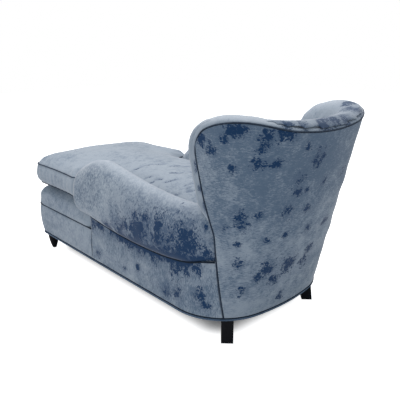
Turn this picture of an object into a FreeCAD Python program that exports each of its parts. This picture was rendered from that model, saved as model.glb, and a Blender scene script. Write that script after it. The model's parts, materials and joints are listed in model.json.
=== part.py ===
import FreeCAD, Part
import Sketcher
import math
import os
import re
from types import SimpleNamespace
from FreeCAD import Vector

# Chaise longue: a tub back whose top edge rises into two wings, two low padded arms, and one loose
# T-shaped seat cushion. Millimetres. +Z is up, the foot end points to -Y and the back to +Y.
# The origin is on the floor, under the middle of the whole piece.

# Driving dimensions: alias, value, what it measures.
SIZES = [
    ("overall_length", 1562, "cushion's foot piping to the rearmost piping"),
    ("base_width", 700, "over the flat sides of the base"),
    ("base_height", 100, "floor to the underside of the base"),
    ("back_lean", 12.65, "degrees the whole tub leans back"),
    ("back_corner_radius", 230, "plan radius of the tub's rear corners"),
    ("back_bow_radius", 900, "plan radius of the tub's rear face"),
    ("wing_reach", 300, "front of a wing to the rearmost back, side view"),
    ("wing_height", 842, "floor to the piping at the top of a wing"),
    ("wing_corner_drop", 107, "top of a wing down to its foremost point"),
    ("wing_corner_radius", 85, "round of a wing's front corner, side view"),
    ("wing_slope", 15, "degrees a wing's front edge runs forward as it rises"),
    ("wing_crown_slope", 25, "degrees the wing's top climbs where its crown begins"),
    ("butterfly_radius", 180, "side-view round from the wings down to the dip"),
    ("seam_setback", 227, "rearmost back to the upright back seam, side view"),
    ("seam_bend_radius", 160, "bend where the upright seam turns along the wing"),
    ("back_thickness", 95, "padded thickness of the tub"),
    ("roll_rise", 14, "padding above the piping of the back"),
    ("wing_roll_reach", 37, "padding in front of the wings' piping, beyond its rise"),
    ("roll_inset", 2, "padded roll inside the tub's outer face"),
    ("roll_outer_radius", 20, "round of the padded roll at the piping"),
    ("roll_inner_radius", 42, "round of the padded roll inside the tub"),
    ("tuck_low", 500, "height where the padded wing starts to part from the arm"),
    ("tuck_high", 545, "height where the wing's roll has its full rise"),
    ("inside_back_low", 240, "underside of the inside back's padding"),
    ("panel_thickness", 6, "cover, wadding and lining of an outside panel"),
    ("panel_gap", 0.5, "outside panel to frame"),
    ("soft_gap", 0.4, "clearance round padded pieces"),
    ("welt_stand", 3, "piping beyond the face it edges"),
    ("welt_depth", 4, "piping sunk behind that face"),
    ("welt_width", 5, "piping across its seam"),
    ("rail_thickness", 28, "frame timber"),
    ("rail_height", 110, "seat rails"),
    ("rear_frame_length", 512, "overall length less a straight side rail"),
    ("stretcher_width", 45, "cross stretchers along the seat"),
    ("stretcher_height", 50, "cross stretchers"),
    ("stretcher_spaces", 3.5, "spaces between stretchers in a side rail's length"),
    ("dowel_diameter", 10, "corner dowels"),
    ("dowel_length", 50, "corner dowels"),
    ("dowel_in_side", 12, "corner dowel inside a side rail"),
    ("dowel_height", 62, "underside of the rails to the lower dowel"),
    ("dowel_spacing", 30, "between the two dowels of a corner"),
    ("dowel_fit", 0.1, "dowel and bolt holes over their pins"),
    ("arm_post_depth", 45, "front arm post along the seat"),
    ("arm_rail_height", 430, "floor to the underside of an arm rail"),
    ("arm_rail_thickness", 25, "arm rail, upright"),
    ("arm_rail_overhang", 90, "arm rail in front of its post"),
    ("back_rail_inset", 25, "edge of the back frame inside the piping"),
    ("back_rail_depth", 50, "width of the top rail and wing posts"),
    ("wing_post_drop", 152, "top of a wing down to its post, where the top rail's ends stand"),
    ("back_post_offset", 170, "middle of the back to a back post"),
    ("back_post_width", 45, "back posts"),
    ("lumbar_height", 380, "floor to the underside of the lumbar rail"),
    ("lumbar_rail_height", 50, "lumbar rail"),
    ("strap_width", 50, "back webbing"),
    ("strap_thickness", 1.5, "back webbing"),
    ("strap_spacing", 95, "between the straps of the back"),
    ("spring_pitch", 128, "between the zigzag seat springs"),
    ("spring_reach", 70, "most that the last spring may stand behind the side rails"),
    ("spring_wire", 4, "wire diameter"),
    ("spring_loop_radius", 16, "bends of the zigzag"),
    ("spring_loop_length", 24, "straight of each loop"),
    ("clip_length", 24, "spring clip along the rail"),
    ("clip_width", 14, "spring clip across the rail"),
    ("clip_height", 8, "spring clip"),
    ("clip_fit", 0.2, "spring wire in its clip, all round"),
    ("hessian_thickness", 1.5, "cloth over the springs"),
    ("cover_thickness", 2, "dust cover under the base"),
    ("front_panel_length", 543, "foot end to the upright seam in front of the arms"),
    ("foot_tuck", 25, "foot-end panel drawn in at its bottom"),
    ("foot_corner_radius", 45, "plan radius of the foot-end corners"),
    ("border_seam_height", 257, "seam between the two bands of the base"),
    ("deck_height", 352, "top of the padded deck"),
    ("deck_edge_radius", 28, "rolled edge of the deck"),
    ("deck_shoulder_radius", 40, "plan radius behind the wide part of the deck"),
    ("deck_notch_radius", 2, "plan radius where the wide part meets the neck"),
    ("arm_front", 424, "foot end to an arm's nose"),
    ("arm_clear_width", 492, "clear width between the arms"),
    ("arm_overhang", 36, "arm roll beyond the base's side"),
    ("arm_peak_height", 590, "top of an arm behind its nose"),
    ("arm_nose_height", 530, "top of an arm at its nose"),
    ("arm_peak_share", 0.28, "share of an arm's length to its peak"),
    ("arm_tuck_share", 0.6, "share of an arm's length where its roll starts to tuck in"),
    ("nose_round", 55, "round of an arm's nose"),
    ("nose_sweep", 55, "inner side of the nose drawn back from the cushion"),
    ("nose_sweep_length", 130, "length over which the nose sweeps back"),
    ("arm_widest_share", 0.42, "share of an arm's height to its widest place"),
    ("arm_shoulder_share", 0.6, "share of an arm's height to its inner round"),
    ("arm_crest_share", 0.5, "share of an arm's width to its crest"),
    ("nose_crest_shift", 0.25, "share by which the crest moves out at the nose"),
    ("nose_shoulder_drop", 0.2, "share by which the inner round drops at the nose"),
    ("arm_rear_height", 546, "top of an arm where it meets the wing"),
    ("crease_front_height", 330, "crease under an arm, front"),
    ("crease_low_height", 304, "crease under an arm, lowest"),
    ("crease_rear_height", 344, "crease under an arm, at the back seam"),
    ("cushion_side_gap", 5, "cushion to arms and back"),
    ("cushion_overhang", 6, "cushion border beyond the foot end of the base"),
    ("cushion_seam_low", 371, "lower piping of the cushion"),
    ("cushion_seam_high", 471, "upper piping of the cushion"),
    ("cushion_crown_height", 528, "middle of the cushion"),
    ("cushion_crown_run", 120, "cushion's edge to its flat crown"),
    ("cushion_corner_radius", 48, "plan radius of the cushion's foot corners"),
    ("cushion_shoulder_radius", 25, "plan radius of the cushion in front of the arms"),
    ("cushion_notch_radius", 72, "plan radius of the cushion beside the arms' noses"),
    ("cushion_draw", 6, "sides of the cushion drawn in between corners"),
    ("cushion_draw_radius", 4000, "sweep of those drawn-in sides"),
    ("cushion_cover_wall", 4, "cover and wadding round the core"),
    ("zip_length", 300, "zip in the cushion's back border"),
    ("zip_width", 12, "zip tape"),
    ("zip_thickness", 2.5, "zip"),
    ("front_foot_diameter", 60, "top of a front foot"),
    ("front_foot_tip", 22, "bottom of a front foot"),
    ("front_foot_swell", 300, "radius of a front foot's curved side"),
    ("front_foot_inset", 16, "side rail to the middle of a front foot"),
    ("front_foot_setback", 21, "face of the foot rail to the middle of a front foot"),
    ("rear_leg_width", 46, "rear leg across"),
    ("rear_leg_depth", 44, "rear leg, outer to inner face"),
    ("rear_leg_splay", 7, "degrees a rear leg leans outwards"),
    ("rear_leg_side", 247, "middle of the piece to a rear leg's bottom"),
    ("rear_leg_setback", 78, "rear of the base to a rear leg's bottom"),
    ("leg_block_depth", 50, "rear leg block behind the curved rail"),
    ("leg_block_height", 70, "rear leg block"),
    ("leg_block_width", 90, "rear leg block, across the seat"),
    ("glide_diameter", 18, "floor glides"),
    ("glide_height", 3, "floor glides"),
    ("bolt_diameter", 8, "leg bolts"),
    ("bolt_in_leg", 48, "leg bolt inside the leg"),
    ("bolt_in_frame", 50, "leg bolt inside the frame"),
    ("rear_bolt_shift", 10, "leg bolt inside a rear leg's middle"),
]

doc = FreeCAD.newDocument("chaise_longue")
sheet = doc.addObject("Spreadsheet::Sheet", "sizes")
for row, (alias, value, note) in enumerate(SIZES, start=1):
    sheet.set(f"A{row}", alias)
    sheet.set(f"B{row}", str(value))
    sheet.setAlias(f"B{row}", alias)
    sheet.set(f"C{row}", note)
doc.recompute()
ALIASES = {alias for alias, _, _ in SIZES}
S = SimpleNamespace(**{alias: float(sheet.get(alias)) for alias in ALIASES})
PIECES = []


# Helpers for the document

def in_sheet(text):
    """Turn the aliases in an expression into references to the sheet."""
    return re.sub(r"[a-z_]+", lambda word: "sizes." + word[0] if word[0] in ALIASES else word[0], text)


def bind(obj, **properties):
    """Bind properties to expressions; at=(x, y, z) binds the place."""
    for axis, text in zip("xyz", properties.pop("at", ())):
        obj.setExpression("Placement.Base." + axis, in_sheet(text))
    for name, text in properties.items():
        obj.setExpression(name, in_sheet(text))
    return obj


def piece(obj, label=None):
    """Hand an object in as a named sub-part."""
    obj.Label = label or obj.Name
    PIECES.append(obj)
    return obj


def box(name, length, width, height, at):
    return bind(doc.addObject("Part::Box", name), Length=length, Width=width, Height=height, at=at)


def upright_rod(name, diameter, height, at):
    rod = doc.addObject("Part::Cylinder", name)
    return bind(rod, Radius=f"({diameter}) / 2", Height=height, at=at)


def cross_rod(name, diameter, length, at):
    """A rod that runs along +X from its place."""
    rod = upright_rod(name, diameter, length, at)
    rod.Placement.Rotation = FreeCAD.Rotation(Vector(0, 1, 0), 90)
    return rod


def group(name, members):
    compound = doc.addObject("Part::Compound", name)
    compound.Links = members
    return compound


def cut(name, base, tool):
    result = doc.addObject("Part::Cut", name)
    result.Base = base
    result.Tool = tool
    return result


def shaped(name, shape):
    """A sub-part whose shape is worked out below from the sheet's sizes."""
    obj = doc.addObject("Part::Feature", name)
    obj.Shape = shape
    obj.Placement = FreeCAD.Placement()
    return piece(obj)


# Lines and places that several pieces share

FOOT_FACE = "(-overall_length / 2 + welt_stand + cushion_overhang)"
FRAME_SIDE = "(base_width / 2 - panel_thickness - panel_gap)"
RAIL_TOP = "(base_height + rail_height)"
SIDE_RAIL = "(overall_length - rear_frame_length)"
RAIL_FOOT = f"({FOOT_FACE} + foot_tuck + panel_thickness + panel_gap)"
FRONT_FOOT_X = f"({FRAME_SIDE} - rail_thickness - front_foot_inset)"
FRONT_FOOT_Y = f"({RAIL_FOOT} + front_foot_setback)"
DOWEL_Y = f"({RAIL_FOOT} + rail_thickness / 2)"
CORNER_X = "(base_width / 2 - foot_corner_radius)"
CORNER_Y = f"({FOOT_FACE} + foot_tuck + foot_corner_radius)"
CORNER_ROUND = "(foot_corner_radius - panel_thickness - panel_gap)"

SIDES = (("right", 1), ("left", -1))
half_width = S.base_width / 2
lean = math.tan(math.radians(S.back_lean))
rear_top = S.overall_length / 2 - S.welt_stand
foot_face = S.cushion_overhang - rear_top
front_seam = foot_face + S.front_panel_length
frame_out = S.panel_thickness + S.panel_gap
frame_in = frame_out + S.rail_thickness
pad_out = frame_in + S.strap_thickness + S.soft_gap
rail_low = S.base_height
rail_top = rail_low + S.rail_height
side_rail_length = S.overall_length - S.rear_frame_length
side_rail_end = foot_face + S.foot_tuck + frame_out + side_rail_length
panel_low = S.base_height + S.welt_width + S.soft_gap
ABOVE_ALL = S.wing_height + 2 * S.roll_rise
WIDE = 2 * S.base_width


def polar(centre_y, centre_z, radius, degrees):
    angle = math.radians(degrees)
    return Vector(0, centre_y + radius * math.cos(angle), centre_z + radius * math.sin(angle))


def mirrored(point):
    return Vector(-point.x, point.y, point.z)


def block(x, y, z):
    """A plain box from three (low, high) spans."""
    return Part.makeBox(x[1] - x[0], y[1] - y[0], z[1] - z[0], Vector(x[0], y[0], z[0]))


def half(sign):
    """Everything on one side of the middle."""
    return block(sorted((0, sign * WIDE)), (-WIDE, WIDE), (0, ABOVE_ALL))


def side_view(points):
    """A prism across the whole width from corners given as (y, z)."""
    corners = [Vector(-WIDE / 2, y, z) for y, z in points]
    return Part.Face(Part.makePolygon(corners + corners[:1])).extrude(Vector(WIDE, 0, 0))


# The back in side view: an upright seam, a bend, the wing's sloping front edge, its corner, its crown,
# and the fall to the dip in the middle of the back.

corner_y = rear_top - S.wing_reach + S.wing_corner_radius
wing_corner_height = S.wing_height - S.wing_corner_drop
wing_post_height = S.wing_height - S.wing_post_drop
crown_start = polar(corner_y, wing_corner_height, S.wing_corner_radius, 90 + S.wing_crown_slope)
crown_radius = (S.wing_height - crown_start.z) / (1 - math.cos(math.radians(S.wing_crown_slope)))
crown_y = crown_start.y + crown_radius * math.sin(math.radians(S.wing_crown_slope))
fall_z = S.wing_height - S.butterfly_radius
# Degrees on the fall's arc where the side view ends, behind the whole back
FALL_END = 20


def wing_edge_y(height, grow, forward):
    """Where the wing's straight sloping front edge, grown and moved forward, stands at a height."""
    touch = polar(corner_y - forward, wing_corner_height, S.wing_corner_radius + grow, 180 + S.wing_slope)
    return touch.y + (touch.z - height) * math.tan(math.radians(S.wing_slope))


def back_outline(grow, forward=0):
    """The back's side view as a prism across the width, its edge grown and its wings moved forward."""
    slope = math.radians(S.wing_slope)
    turn = 90 + S.wing_crown_slope
    corner = (corner_y - forward, wing_corner_height, S.wing_corner_radius + grow)
    crown = (crown_y - forward, S.wing_height - crown_radius, crown_radius + grow)
    fall = (crown_y, fall_z, S.butterfly_radius + grow)
    seam_y = rear_top - S.seam_setback - grow - forward
    bend_radius = S.seam_bend_radius - grow
    touch = polar(*corner, 180 + S.wing_slope)
    meet_z = touch.z - (seam_y - touch.y) / math.tan(slope)
    reach = bend_radius * math.tan(slope / 2)
    bend_low = Vector(0, seam_y, meet_z - reach)
    bend_high = Vector(0, seam_y - reach * math.sin(slope), meet_z + reach * math.cos(slope))
    bend_mid = polar(seam_y - bend_radius, bend_low.z, bend_radius, S.wing_slope / 2)
    corner_mid, corner_end = polar(*corner, (180 + S.wing_slope + turn) / 2), polar(*corner, turn)
    crown_mid, crown_top = polar(*crown, (90 + turn) / 2), polar(*crown, 90)
    top, fall_mid, fall_end = polar(*fall, 90), polar(*fall, (90 + FALL_END) / 2), polar(*fall, FALL_END)
    edges = [
        Part.makeLine(Vector(0, seam_y, 0), bend_low),
        Part.Arc(bend_low, bend_mid, bend_high).toShape(),
        Part.makeLine(bend_high, touch),
        Part.Arc(touch, corner_mid, corner_end).toShape(),
        Part.Arc(corner_end, crown_mid, crown_top).toShape(),
    ]
    if forward:
        edges.append(Part.makeLine(crown_top, top))
    edges += [
        Part.Arc(top, fall_mid, fall_end).toShape(),
        Part.makeLine(fall_end, Vector(0, fall_end.y, 0)),
        Part.makeLine(Vector(0, fall_end.y, 0), Vector(0, seam_y, 0)),
    ]
    face = Part.Face(Part.Wire(edges))
    face.translate(Vector(-WIDE / 2, 0, 0))
    return face.extrude(Vector(WIDE, 0, 0))


# The tub in plan: flat sides, two corner arcs and a shallow rear bow. Every level is the same outline,
# carried back by the lean.

dip_height = fall_z + math.sqrt(S.butterfly_radius ** 2 - (rear_top - crown_y) ** 2)
base_rear = rear_top - lean * (dip_height - S.base_height)
corner_x = half_width - S.back_corner_radius
bow_y = base_rear - S.back_bow_radius
side_end = bow_y + math.sqrt((S.back_bow_radius - S.back_corner_radius) ** 2 - corner_x ** 2)
bow_angle = math.atan2(side_end - bow_y, corner_x)


def shift(height):
    """How far the lean carries the tub back at a height."""
    return lean * (height - S.base_height)


def tub_path(inset, height, front):
    """The tub's outline as edges, right front to left front, drawn in by an inset."""
    radius = S.back_corner_radius - inset
    back = shift(height)

    def on_corner(angle):
        return Vector(corner_x + radius * math.cos(angle), side_end + back + radius * math.sin(angle), height)

    start = Vector(half_width - inset, front, height)
    bend, middle, end = on_corner(0), on_corner(bow_angle / 2), on_corner(bow_angle)
    rear = Vector(0, base_rear - inset + back, height)
    return [
        Part.makeLine(start, bend),
        Part.Arc(bend, middle, end).toShape(),
        Part.Arc(end, rear, mirrored(end)).toShape(),
        Part.Arc(mirrored(end), mirrored(middle), mirrored(bend)).toShape(),
        Part.makeLine(mirrored(bend), mirrored(start)),
    ]


def foot_path(inset, foot_y, height):
    """The foot end's outline as edges, right seam round the foot to the left seam."""
    radius = S.foot_corner_radius - inset
    centre = Vector(half_width - S.foot_corner_radius, foot_y + S.foot_corner_radius, height)
    diagonal = radius * math.sqrt(0.5)
    start = Vector(half_width - inset, front_seam, height)
    side = Vector(half_width - inset, centre.y, height)
    middle = Vector(centre.x + diagonal, centre.y - diagonal, height)
    foot = Vector(centre.x, foot_y + inset, height)
    return [
        Part.makeLine(start, side),
        Part.Arc(side, middle, foot).toShape(),
        Part.makeLine(foot, mirrored(foot)),
        Part.Arc(mirrored(foot), mirrored(middle), mirrored(side)).toShape(),
        Part.makeLine(mirrored(side), mirrored(start)),
    ]


def band_wire(outer, inner):
    """Close two open paths that run the same way into one band."""
    first, last = outer[0].Vertexes[0].Point, outer[-1].Vertexes[1].Point
    inner_first, inner_last = inner[0].Vertexes[0].Point, inner[-1].Vertexes[1].Point
    caps = [Part.makeLine(last, inner_last), Part.makeLine(inner_first, first)]
    return Part.Wire(Part.__sortEdges__(outer + caps + inner))


def tub(outer_inset, inner_inset, low, high, front=foot_face):
    """A layer of the tub between two insets and two heights, leaning with it."""
    wire = band_wire(tub_path(outer_inset, low, front), tub_path(inner_inset, low, front))
    return Part.Face(wire).extrude(Vector(0, lean * (high - low), high - low))


def base_outline(inset):
    """The closed outline of the base's underside."""
    foot_y = foot_face + S.foot_tuck
    edges = foot_path(inset, foot_y, S.base_height) + tub_path(inset, S.base_height, front_seam)
    return Part.Wire(Part.__sortEdges__(edges))


def base_plate(inset, low, high):
    plate = Part.Face(base_outline(inset)).extrude(Vector(0, 0, high - low))
    plate.translate(Vector(0, 0, low - S.base_height))
    return plate


def inset_of(point):
    """How far inside the tub's outer face a point lies."""
    x, y = abs(point.x), point.y - shift(point.z)
    if y < side_end:
        return half_width - x
    if math.atan2(y - side_end, x - corner_x) < bow_angle:
        return S.back_corner_radius - math.hypot(x - corner_x, y - side_end)
    return S.back_bow_radius - math.hypot(x, y - bow_y)


def drawn_in(corners, inset):
    """A counter-clockwise outline's corners moved in by an inset; its convex rounds tighten with it."""
    moved = []
    points = [Vector(x, y, 0) for x, y, _ in corners]
    for i, (_, _, radius) in enumerate(corners):
        before = (points[i] - points[i - 1]).normalize()
        after = (points[(i + 1) % len(points)] - points[i]).normalize()
        inward_before, inward_after = Vector(-before.y, before.x, 0), Vector(-after.y, after.x, 0)
        place = points[i] + (inward_before + inward_after) * (inset / (1 + inward_before.dot(inward_after)))
        convex = before.cross(after).z > 0
        moved.append((place.x, place.y, max(radius - inset, S.soft_gap) if convex else radius))
    return moved


def rounded_wire(corners, height):
    """A closed outline at a height from corners given as (x, y, radius)."""
    edges = []
    points = [Vector(x, y, height) for x, y, _ in corners]
    ends = []
    for i, (_, _, radius) in enumerate(corners):
        before = (points[i - 1] - points[i]).normalize()
        after = (points[(i + 1) % len(points)] - points[i]).normalize()
        opening = before.getAngle(after)
        reach = radius / math.tan(opening / 2)
        bisector = (before + after).normalize()
        middle = points[i] + bisector * (radius / math.sin(opening / 2) - radius)
        ends.append((points[i] + before * reach, middle, points[i] + after * reach))
    for i, (start, middle, end) in enumerate(ends):
        edges.append(Part.Arc(start, middle, end).toShape())
        edges.append(Part.makeLine(end, ends[(i + 1) % len(ends)][0]))
    return Part.Wire(edges)


# Beech frame

rail_holes = []
for side, sign in SIDES:
    for k in (0, 1):
        joint = f"{sign} * ({FRAME_SIDE} - rail_thickness)"
        start = f"{joint} + dowel_in_side - dowel_length" if sign > 0 else f"{joint} - dowel_in_side"
        place = (start, DOWEL_Y, f"base_height + dowel_height + {k} * dowel_spacing")
        name = f"dowel_hole_{side}_{k + 1}"
        rail_holes.append(cross_rod(name, "dowel_diameter + dowel_fit", "dowel_length", place))
dowel_holes = group("dowel_holes", rail_holes)
dowels = []
for hole in rail_holes:
    rod = cross_rod(hole.Name.replace("hole", "pin"), "dowel_diameter", "dowel_length", ())
    for axis in "xyz":
        rod.setExpression("Placement.Base." + axis, f"{hole.Name}.Placement.Base.{axis}")
    dowels.append(rod)
piece(group("frame_dowels", dowels))

corner_rooms = []
for side, sign in SIDES:
    x = CORNER_X if sign > 0 else f"-{FRAME_SIDE}"
    place = (x, RAIL_FOOT, "base_height")
    square = box(f"corner_square_{side}", CORNER_ROUND, CORNER_ROUND, "rail_height", place)
    place = (f"{sign} * {CORNER_X}", CORNER_Y, "base_height")
    quarter = upright_rod(f"corner_quarter_{side}", f"2 * {CORNER_ROUND}", "rail_height", place)
    corner_rooms.append(cut(f"corner_room_{side}", square, quarter))
rail_cutters = group("rail_cutters", [dowel_holes] + corner_rooms)

for side, sign in SIDES:
    x = f"{FRAME_SIDE} - rail_thickness" if sign > 0 else f"-{FRAME_SIDE}"
    place = (x, RAIL_FOOT, "base_height")
    blank = box(f"seat_rail_{side}_blank", "rail_thickness", SIDE_RAIL, "rail_height", place)
    piece(cut(f"seat_rail_{side}", blank, rail_cutters))
    post_y = f"{FOOT_FACE} + front_panel_length + panel_thickness"
    post_height = f"arm_rail_height - {RAIL_TOP}"
    piece(box(f"arm_post_{side}", "rail_thickness", "arm_post_depth", post_height, (x, post_y, RAIL_TOP)))

inner_span = f"2 * ({FRAME_SIDE} - rail_thickness)"
inner_left = f"-({FRAME_SIDE} - rail_thickness)"
place = (inner_left, RAIL_FOOT, "base_height")
foot_blank = box("foot_rail_blank", inner_span, "rail_thickness", "rail_height", place)
foot_bores = []
for side, sign in SIDES:
    place = (f"{sign} * {FRONT_FOOT_X}", FRONT_FOOT_Y, "base_height")
    foot_bores.append(upright_rod(f"foot_bore_{side}", "bolt_diameter + dowel_fit", "bolt_in_frame", place))
foot_drilled = cut("foot_rail_drilled", foot_blank, group("foot_bores", foot_bores))
piece(cut("foot_rail", foot_drilled, rail_cutters))

stretchers = []
for k in (1, 2, 3):
    place = (inner_left, f"{FOOT_FACE} + {k} * {SIDE_RAIL} / stretcher_spaces", "base_height")
    stretchers.append(box(f"stretcher_{k}", inner_span, "stretcher_width", "stretcher_height", place))
piece(group("seat_stretchers", stretchers))

behind_side_rails = block((-WIDE, WIDE), (side_rail_end, WIDE), (0, ABOVE_ALL))
shaped("rear_seat_rail", tub(frame_out, frame_in, rail_low, rail_top).common(behind_side_rails))

frame_layer = tub(frame_out, frame_in, rail_top, ABOVE_ALL)
frame_edge = back_outline(-S.back_rail_inset)
frame_centre = back_outline(-S.back_rail_inset - S.back_rail_depth)
border_layer = frame_layer.common(frame_edge.cut(frame_centre))
wing_span = block((-WIDE, WIDE), (-WIDE, crown_y), (0, wing_post_height))
between_wings = S.back_post_offset + S.back_post_width
middle_room = block((-between_wings, between_wings), (0, WIDE), (0, ABOVE_ALL))
wing_posts = border_layer.common(wing_span).cut(middle_room)
top_rail = border_layer.common(block((-WIDE, WIDE), (-WIDE, WIDE), (wing_post_height, ABOVE_ALL)))
shaped("back_top_rail", top_rail)
for side, sign in SIDES:
    shaped(f"wing_post_{side}", wing_posts.common(half(sign)))

lumbar_span = block((-WIDE, WIDE), (-WIDE, WIDE), (S.lumbar_height, S.lumbar_height + S.lumbar_rail_height))
lumbar = frame_layer.common(frame_centre).common(lumbar_span)
for side, sign in SIDES:
    middle = sign * S.back_post_offset
    slab = block((middle - S.back_post_width / 2, middle + S.back_post_width / 2), (0, WIDE), (0, ABOVE_ALL))
    shaped(f"back_post_{side}", frame_layer.common(frame_edge).common(slab).cut(top_rail))
    lumbar = lumbar.cut(slab)
shaped("lumbar_rail", lumbar)

arm_rail_front = front_seam + S.panel_thickness - S.arm_rail_overhang
arm_rail_span = (S.arm_rail_height, S.arm_rail_height + S.arm_rail_thickness)
arm_rails = tub(frame_out, frame_in, *arm_rail_span, front=arm_rail_front).cut(frame_edge)
for side, sign in SIDES:
    before_wing = block(sorted((0, sign * WIDE)), (-WIDE, crown_y), (0, ABOVE_ALL))
    shaped(f"arm_rail_{side}", arm_rails.common(before_wing))

# Feet, bolts and glides


def turned_foot_profile(sketch):
    """Half of a front foot: glide seat, swelling side, top, and the blind bore for its bolt."""
    tip, top = S.front_foot_tip / 2, S.front_foot_diameter / 2
    bore, bore_floor = (S.bolt_diameter + S.dowel_fit) / 2, rail_low - S.bolt_in_leg
    axis_low, tip_edge = Vector(0, S.glide_height, 0), Vector(tip, S.glide_height, 0)
    top_edge, bore_edge = Vector(top, rail_low, 0), Vector(bore, rail_low, 0)
    bore_corner, axis_high = Vector(bore, bore_floor, 0), Vector(0, bore_floor, 0)
    chord = top_edge - tip_edge
    bulge = S.front_foot_swell - math.sqrt(S.front_foot_swell ** 2 - chord.Length ** 2 / 4)
    swell = (tip_edge + top_edge) / 2 + Vector(chord.y, -chord.x, 0).normalize() * bulge
    sketch.addGeometry([
        Part.LineSegment(axis_low, tip_edge),
        Part.Arc(tip_edge, swell, top_edge),
        Part.LineSegment(top_edge, bore_edge),
        Part.LineSegment(bore_edge, bore_corner),
        Part.LineSegment(bore_corner, axis_high),
        Part.LineSegment(axis_high, axis_low),
    ], False)
    for line in range(6):
        sketch.addConstraint(Sketcher.Constraint("Coincident", line, 2, (line + 1) % 6, 1))
    for line in (0, 2, 4):
        sketch.addConstraint(Sketcher.Constraint("Horizontal", line))
    for line in (3, 5):
        sketch.addConstraint(Sketcher.Constraint("Vertical", line))
    sketch.addConstraint(Sketcher.Constraint("PointOnObject", 0, 1, -2))
    driven = (
        ("DistanceY", "seat_height", (-1, 1, 0, 1), "glide_height"),
        ("DistanceX", "tip_radius", (-1, 1, 0, 2), "front_foot_tip / 2"),
        ("DistanceX", "top_radius", (-1, 1, 2, 1), "front_foot_diameter / 2"),
        ("DistanceY", "top_height", (-1, 1, 2, 1), "base_height"),
        ("DistanceX", "bore_radius", (-1, 1, 3, 1), "(bolt_diameter + dowel_fit) / 2"),
        ("DistanceY", "bore_floor", (-1, 1, 4, 2), "base_height - bolt_in_leg"),
    )
    measured = (S.glide_height, tip, top, rail_low, bore, bore_floor)
    for (kind, name, points, text), value in zip(driven, measured):
        index = sketch.addConstraint(Sketcher.Constraint(kind, *points, value))
        sketch.renameConstraint(index, name)
        sketch.setExpression("Constraints." + name, in_sheet(text))
    index = sketch.addConstraint(Sketcher.Constraint("Radius", 1, S.front_foot_swell))
    sketch.renameConstraint(index, "swell_radius")
    sketch.setExpression("Constraints.swell_radius", in_sheet("front_foot_swell"))


foot_bolts = []
glides = []
BOLT_LENGTH = "bolt_in_leg + bolt_in_frame"
for side, sign in SIDES:
    body = piece(doc.addObject("PartDesign::Body", f"front_foot_{side}"))
    bind(body, at=(f"{sign} * {FRONT_FOOT_X}", FRONT_FOOT_Y, "0"))
    sketch = body.newObject("Sketcher::SketchObject", f"front_foot_profile_{side}")
    plane = next(feature for feature in body.Origin.OriginFeatures if feature.Role == "XZ_Plane")
    sketch.AttachmentSupport = [(plane, "")]
    sketch.MapMode = "FlatFace"
    turned_foot_profile(sketch)
    turning = body.newObject("PartDesign::Revolution", f"front_foot_turning_{side}")
    turning.Profile = sketch
    turning.ReferenceAxis = (sketch, ["V_Axis"])
    turning.Angle = 360
    place = (f"{sign} * {FRONT_FOOT_X}", FRONT_FOOT_Y, "base_height - bolt_in_leg")
    foot_bolts.append(upright_rod(f"front_bolt_{side}", "bolt_diameter", BOLT_LENGTH, place))
    place = (f"{sign} * {FRONT_FOOT_X}", FRONT_FOOT_Y, "0")
    glides.append(upright_rod(f"front_glide_{side}", "glide_diameter", "glide_height", place))

DIAGONAL = math.sqrt(0.5)
leg_run = math.tan(math.radians(S.rear_leg_splay)) * (rail_low - S.glide_height)


def rear_leg_axis(sign, along=0.0):
    """A point on a rear leg's splayed middle line, 0 at the glide to 1 at the rail, and its outward way."""
    outward = Vector(sign * DIAGONAL, DIAGONAL, 0)
    bottom = Vector(sign * S.rear_leg_side, base_rear - S.rear_leg_setback, S.glide_height)
    return bottom - outward * leg_run * along + Vector(0, 0, (rail_low - S.glide_height) * along), outward


def rear_leg_blank(sign, margin):
    """A splayed square leg, grown by a margin all round."""
    bottom, outward = rear_leg_axis(sign)
    top, _ = rear_leg_axis(sign, 1.0)
    across = Vector(-outward.y, outward.x, 0)
    deep = outward * (S.rear_leg_depth / 2 + margin)
    wide = across * (S.rear_leg_width / 2 + margin)
    corners = [bottom + deep + wide, bottom - deep + wide, bottom - deep - wide, bottom + deep - wide]
    return Part.Face(Part.makePolygon(corners + corners[:1])).extrude(top - bottom)


bore_radius = (S.bolt_diameter + S.dowel_fit) / 2
for side, sign in SIDES:
    top, outward = rear_leg_axis(sign, 1.0)
    bolt_low = top - outward * S.rear_bolt_shift - Vector(0, 0, S.bolt_in_leg)
    bore = Part.makeCylinder(bore_radius, S.bolt_in_leg + S.bolt_in_frame, bolt_low)
    shaped(f"rear_leg_{side}", rear_leg_blank(sign, 0).cut(bore))
    block_x = sorted((sign * (S.rear_leg_side - S.leg_block_width), sign * S.rear_leg_side))
    block_layer = tub(frame_in, frame_in + S.leg_block_depth, rail_low, rail_low + S.leg_block_height)
    leg_block = block_layer.common(block(block_x, (side_end, WIDE), (0, ABOVE_ALL)))
    shaped(f"rear_leg_block_{side}", leg_block.cut(bore))
    bolt = upright_rod(f"rear_bolt_{side}", "bolt_diameter", BOLT_LENGTH, ())
    bolt.Placement.Base = bolt_low
    foot_bolts.append(bolt)
    glide = upright_rod(f"rear_glide_{side}", "glide_diameter", "glide_height", ())
    glide.Placement.Base = rear_leg_axis(sign)[0] - Vector(0, 0, S.glide_height)
    glides.append(glide)
piece(group("leg_bolts", foot_bolts))
piece(group("floor_glides", glides))

# Seat suspension

wire_height = rail_top + S.clip_height / 2
first_spring = foot_face + S.foot_tuck + frame_in + S.spring_pitch / 2
spring_count = 1 + int((side_rail_end + S.spring_reach - first_spring) / S.spring_pitch)
spring_rows = [first_spring + S.spring_pitch * k for k in range(spring_count)]
clip_x = half_width - frame_out - S.rail_thickness / 2


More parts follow.
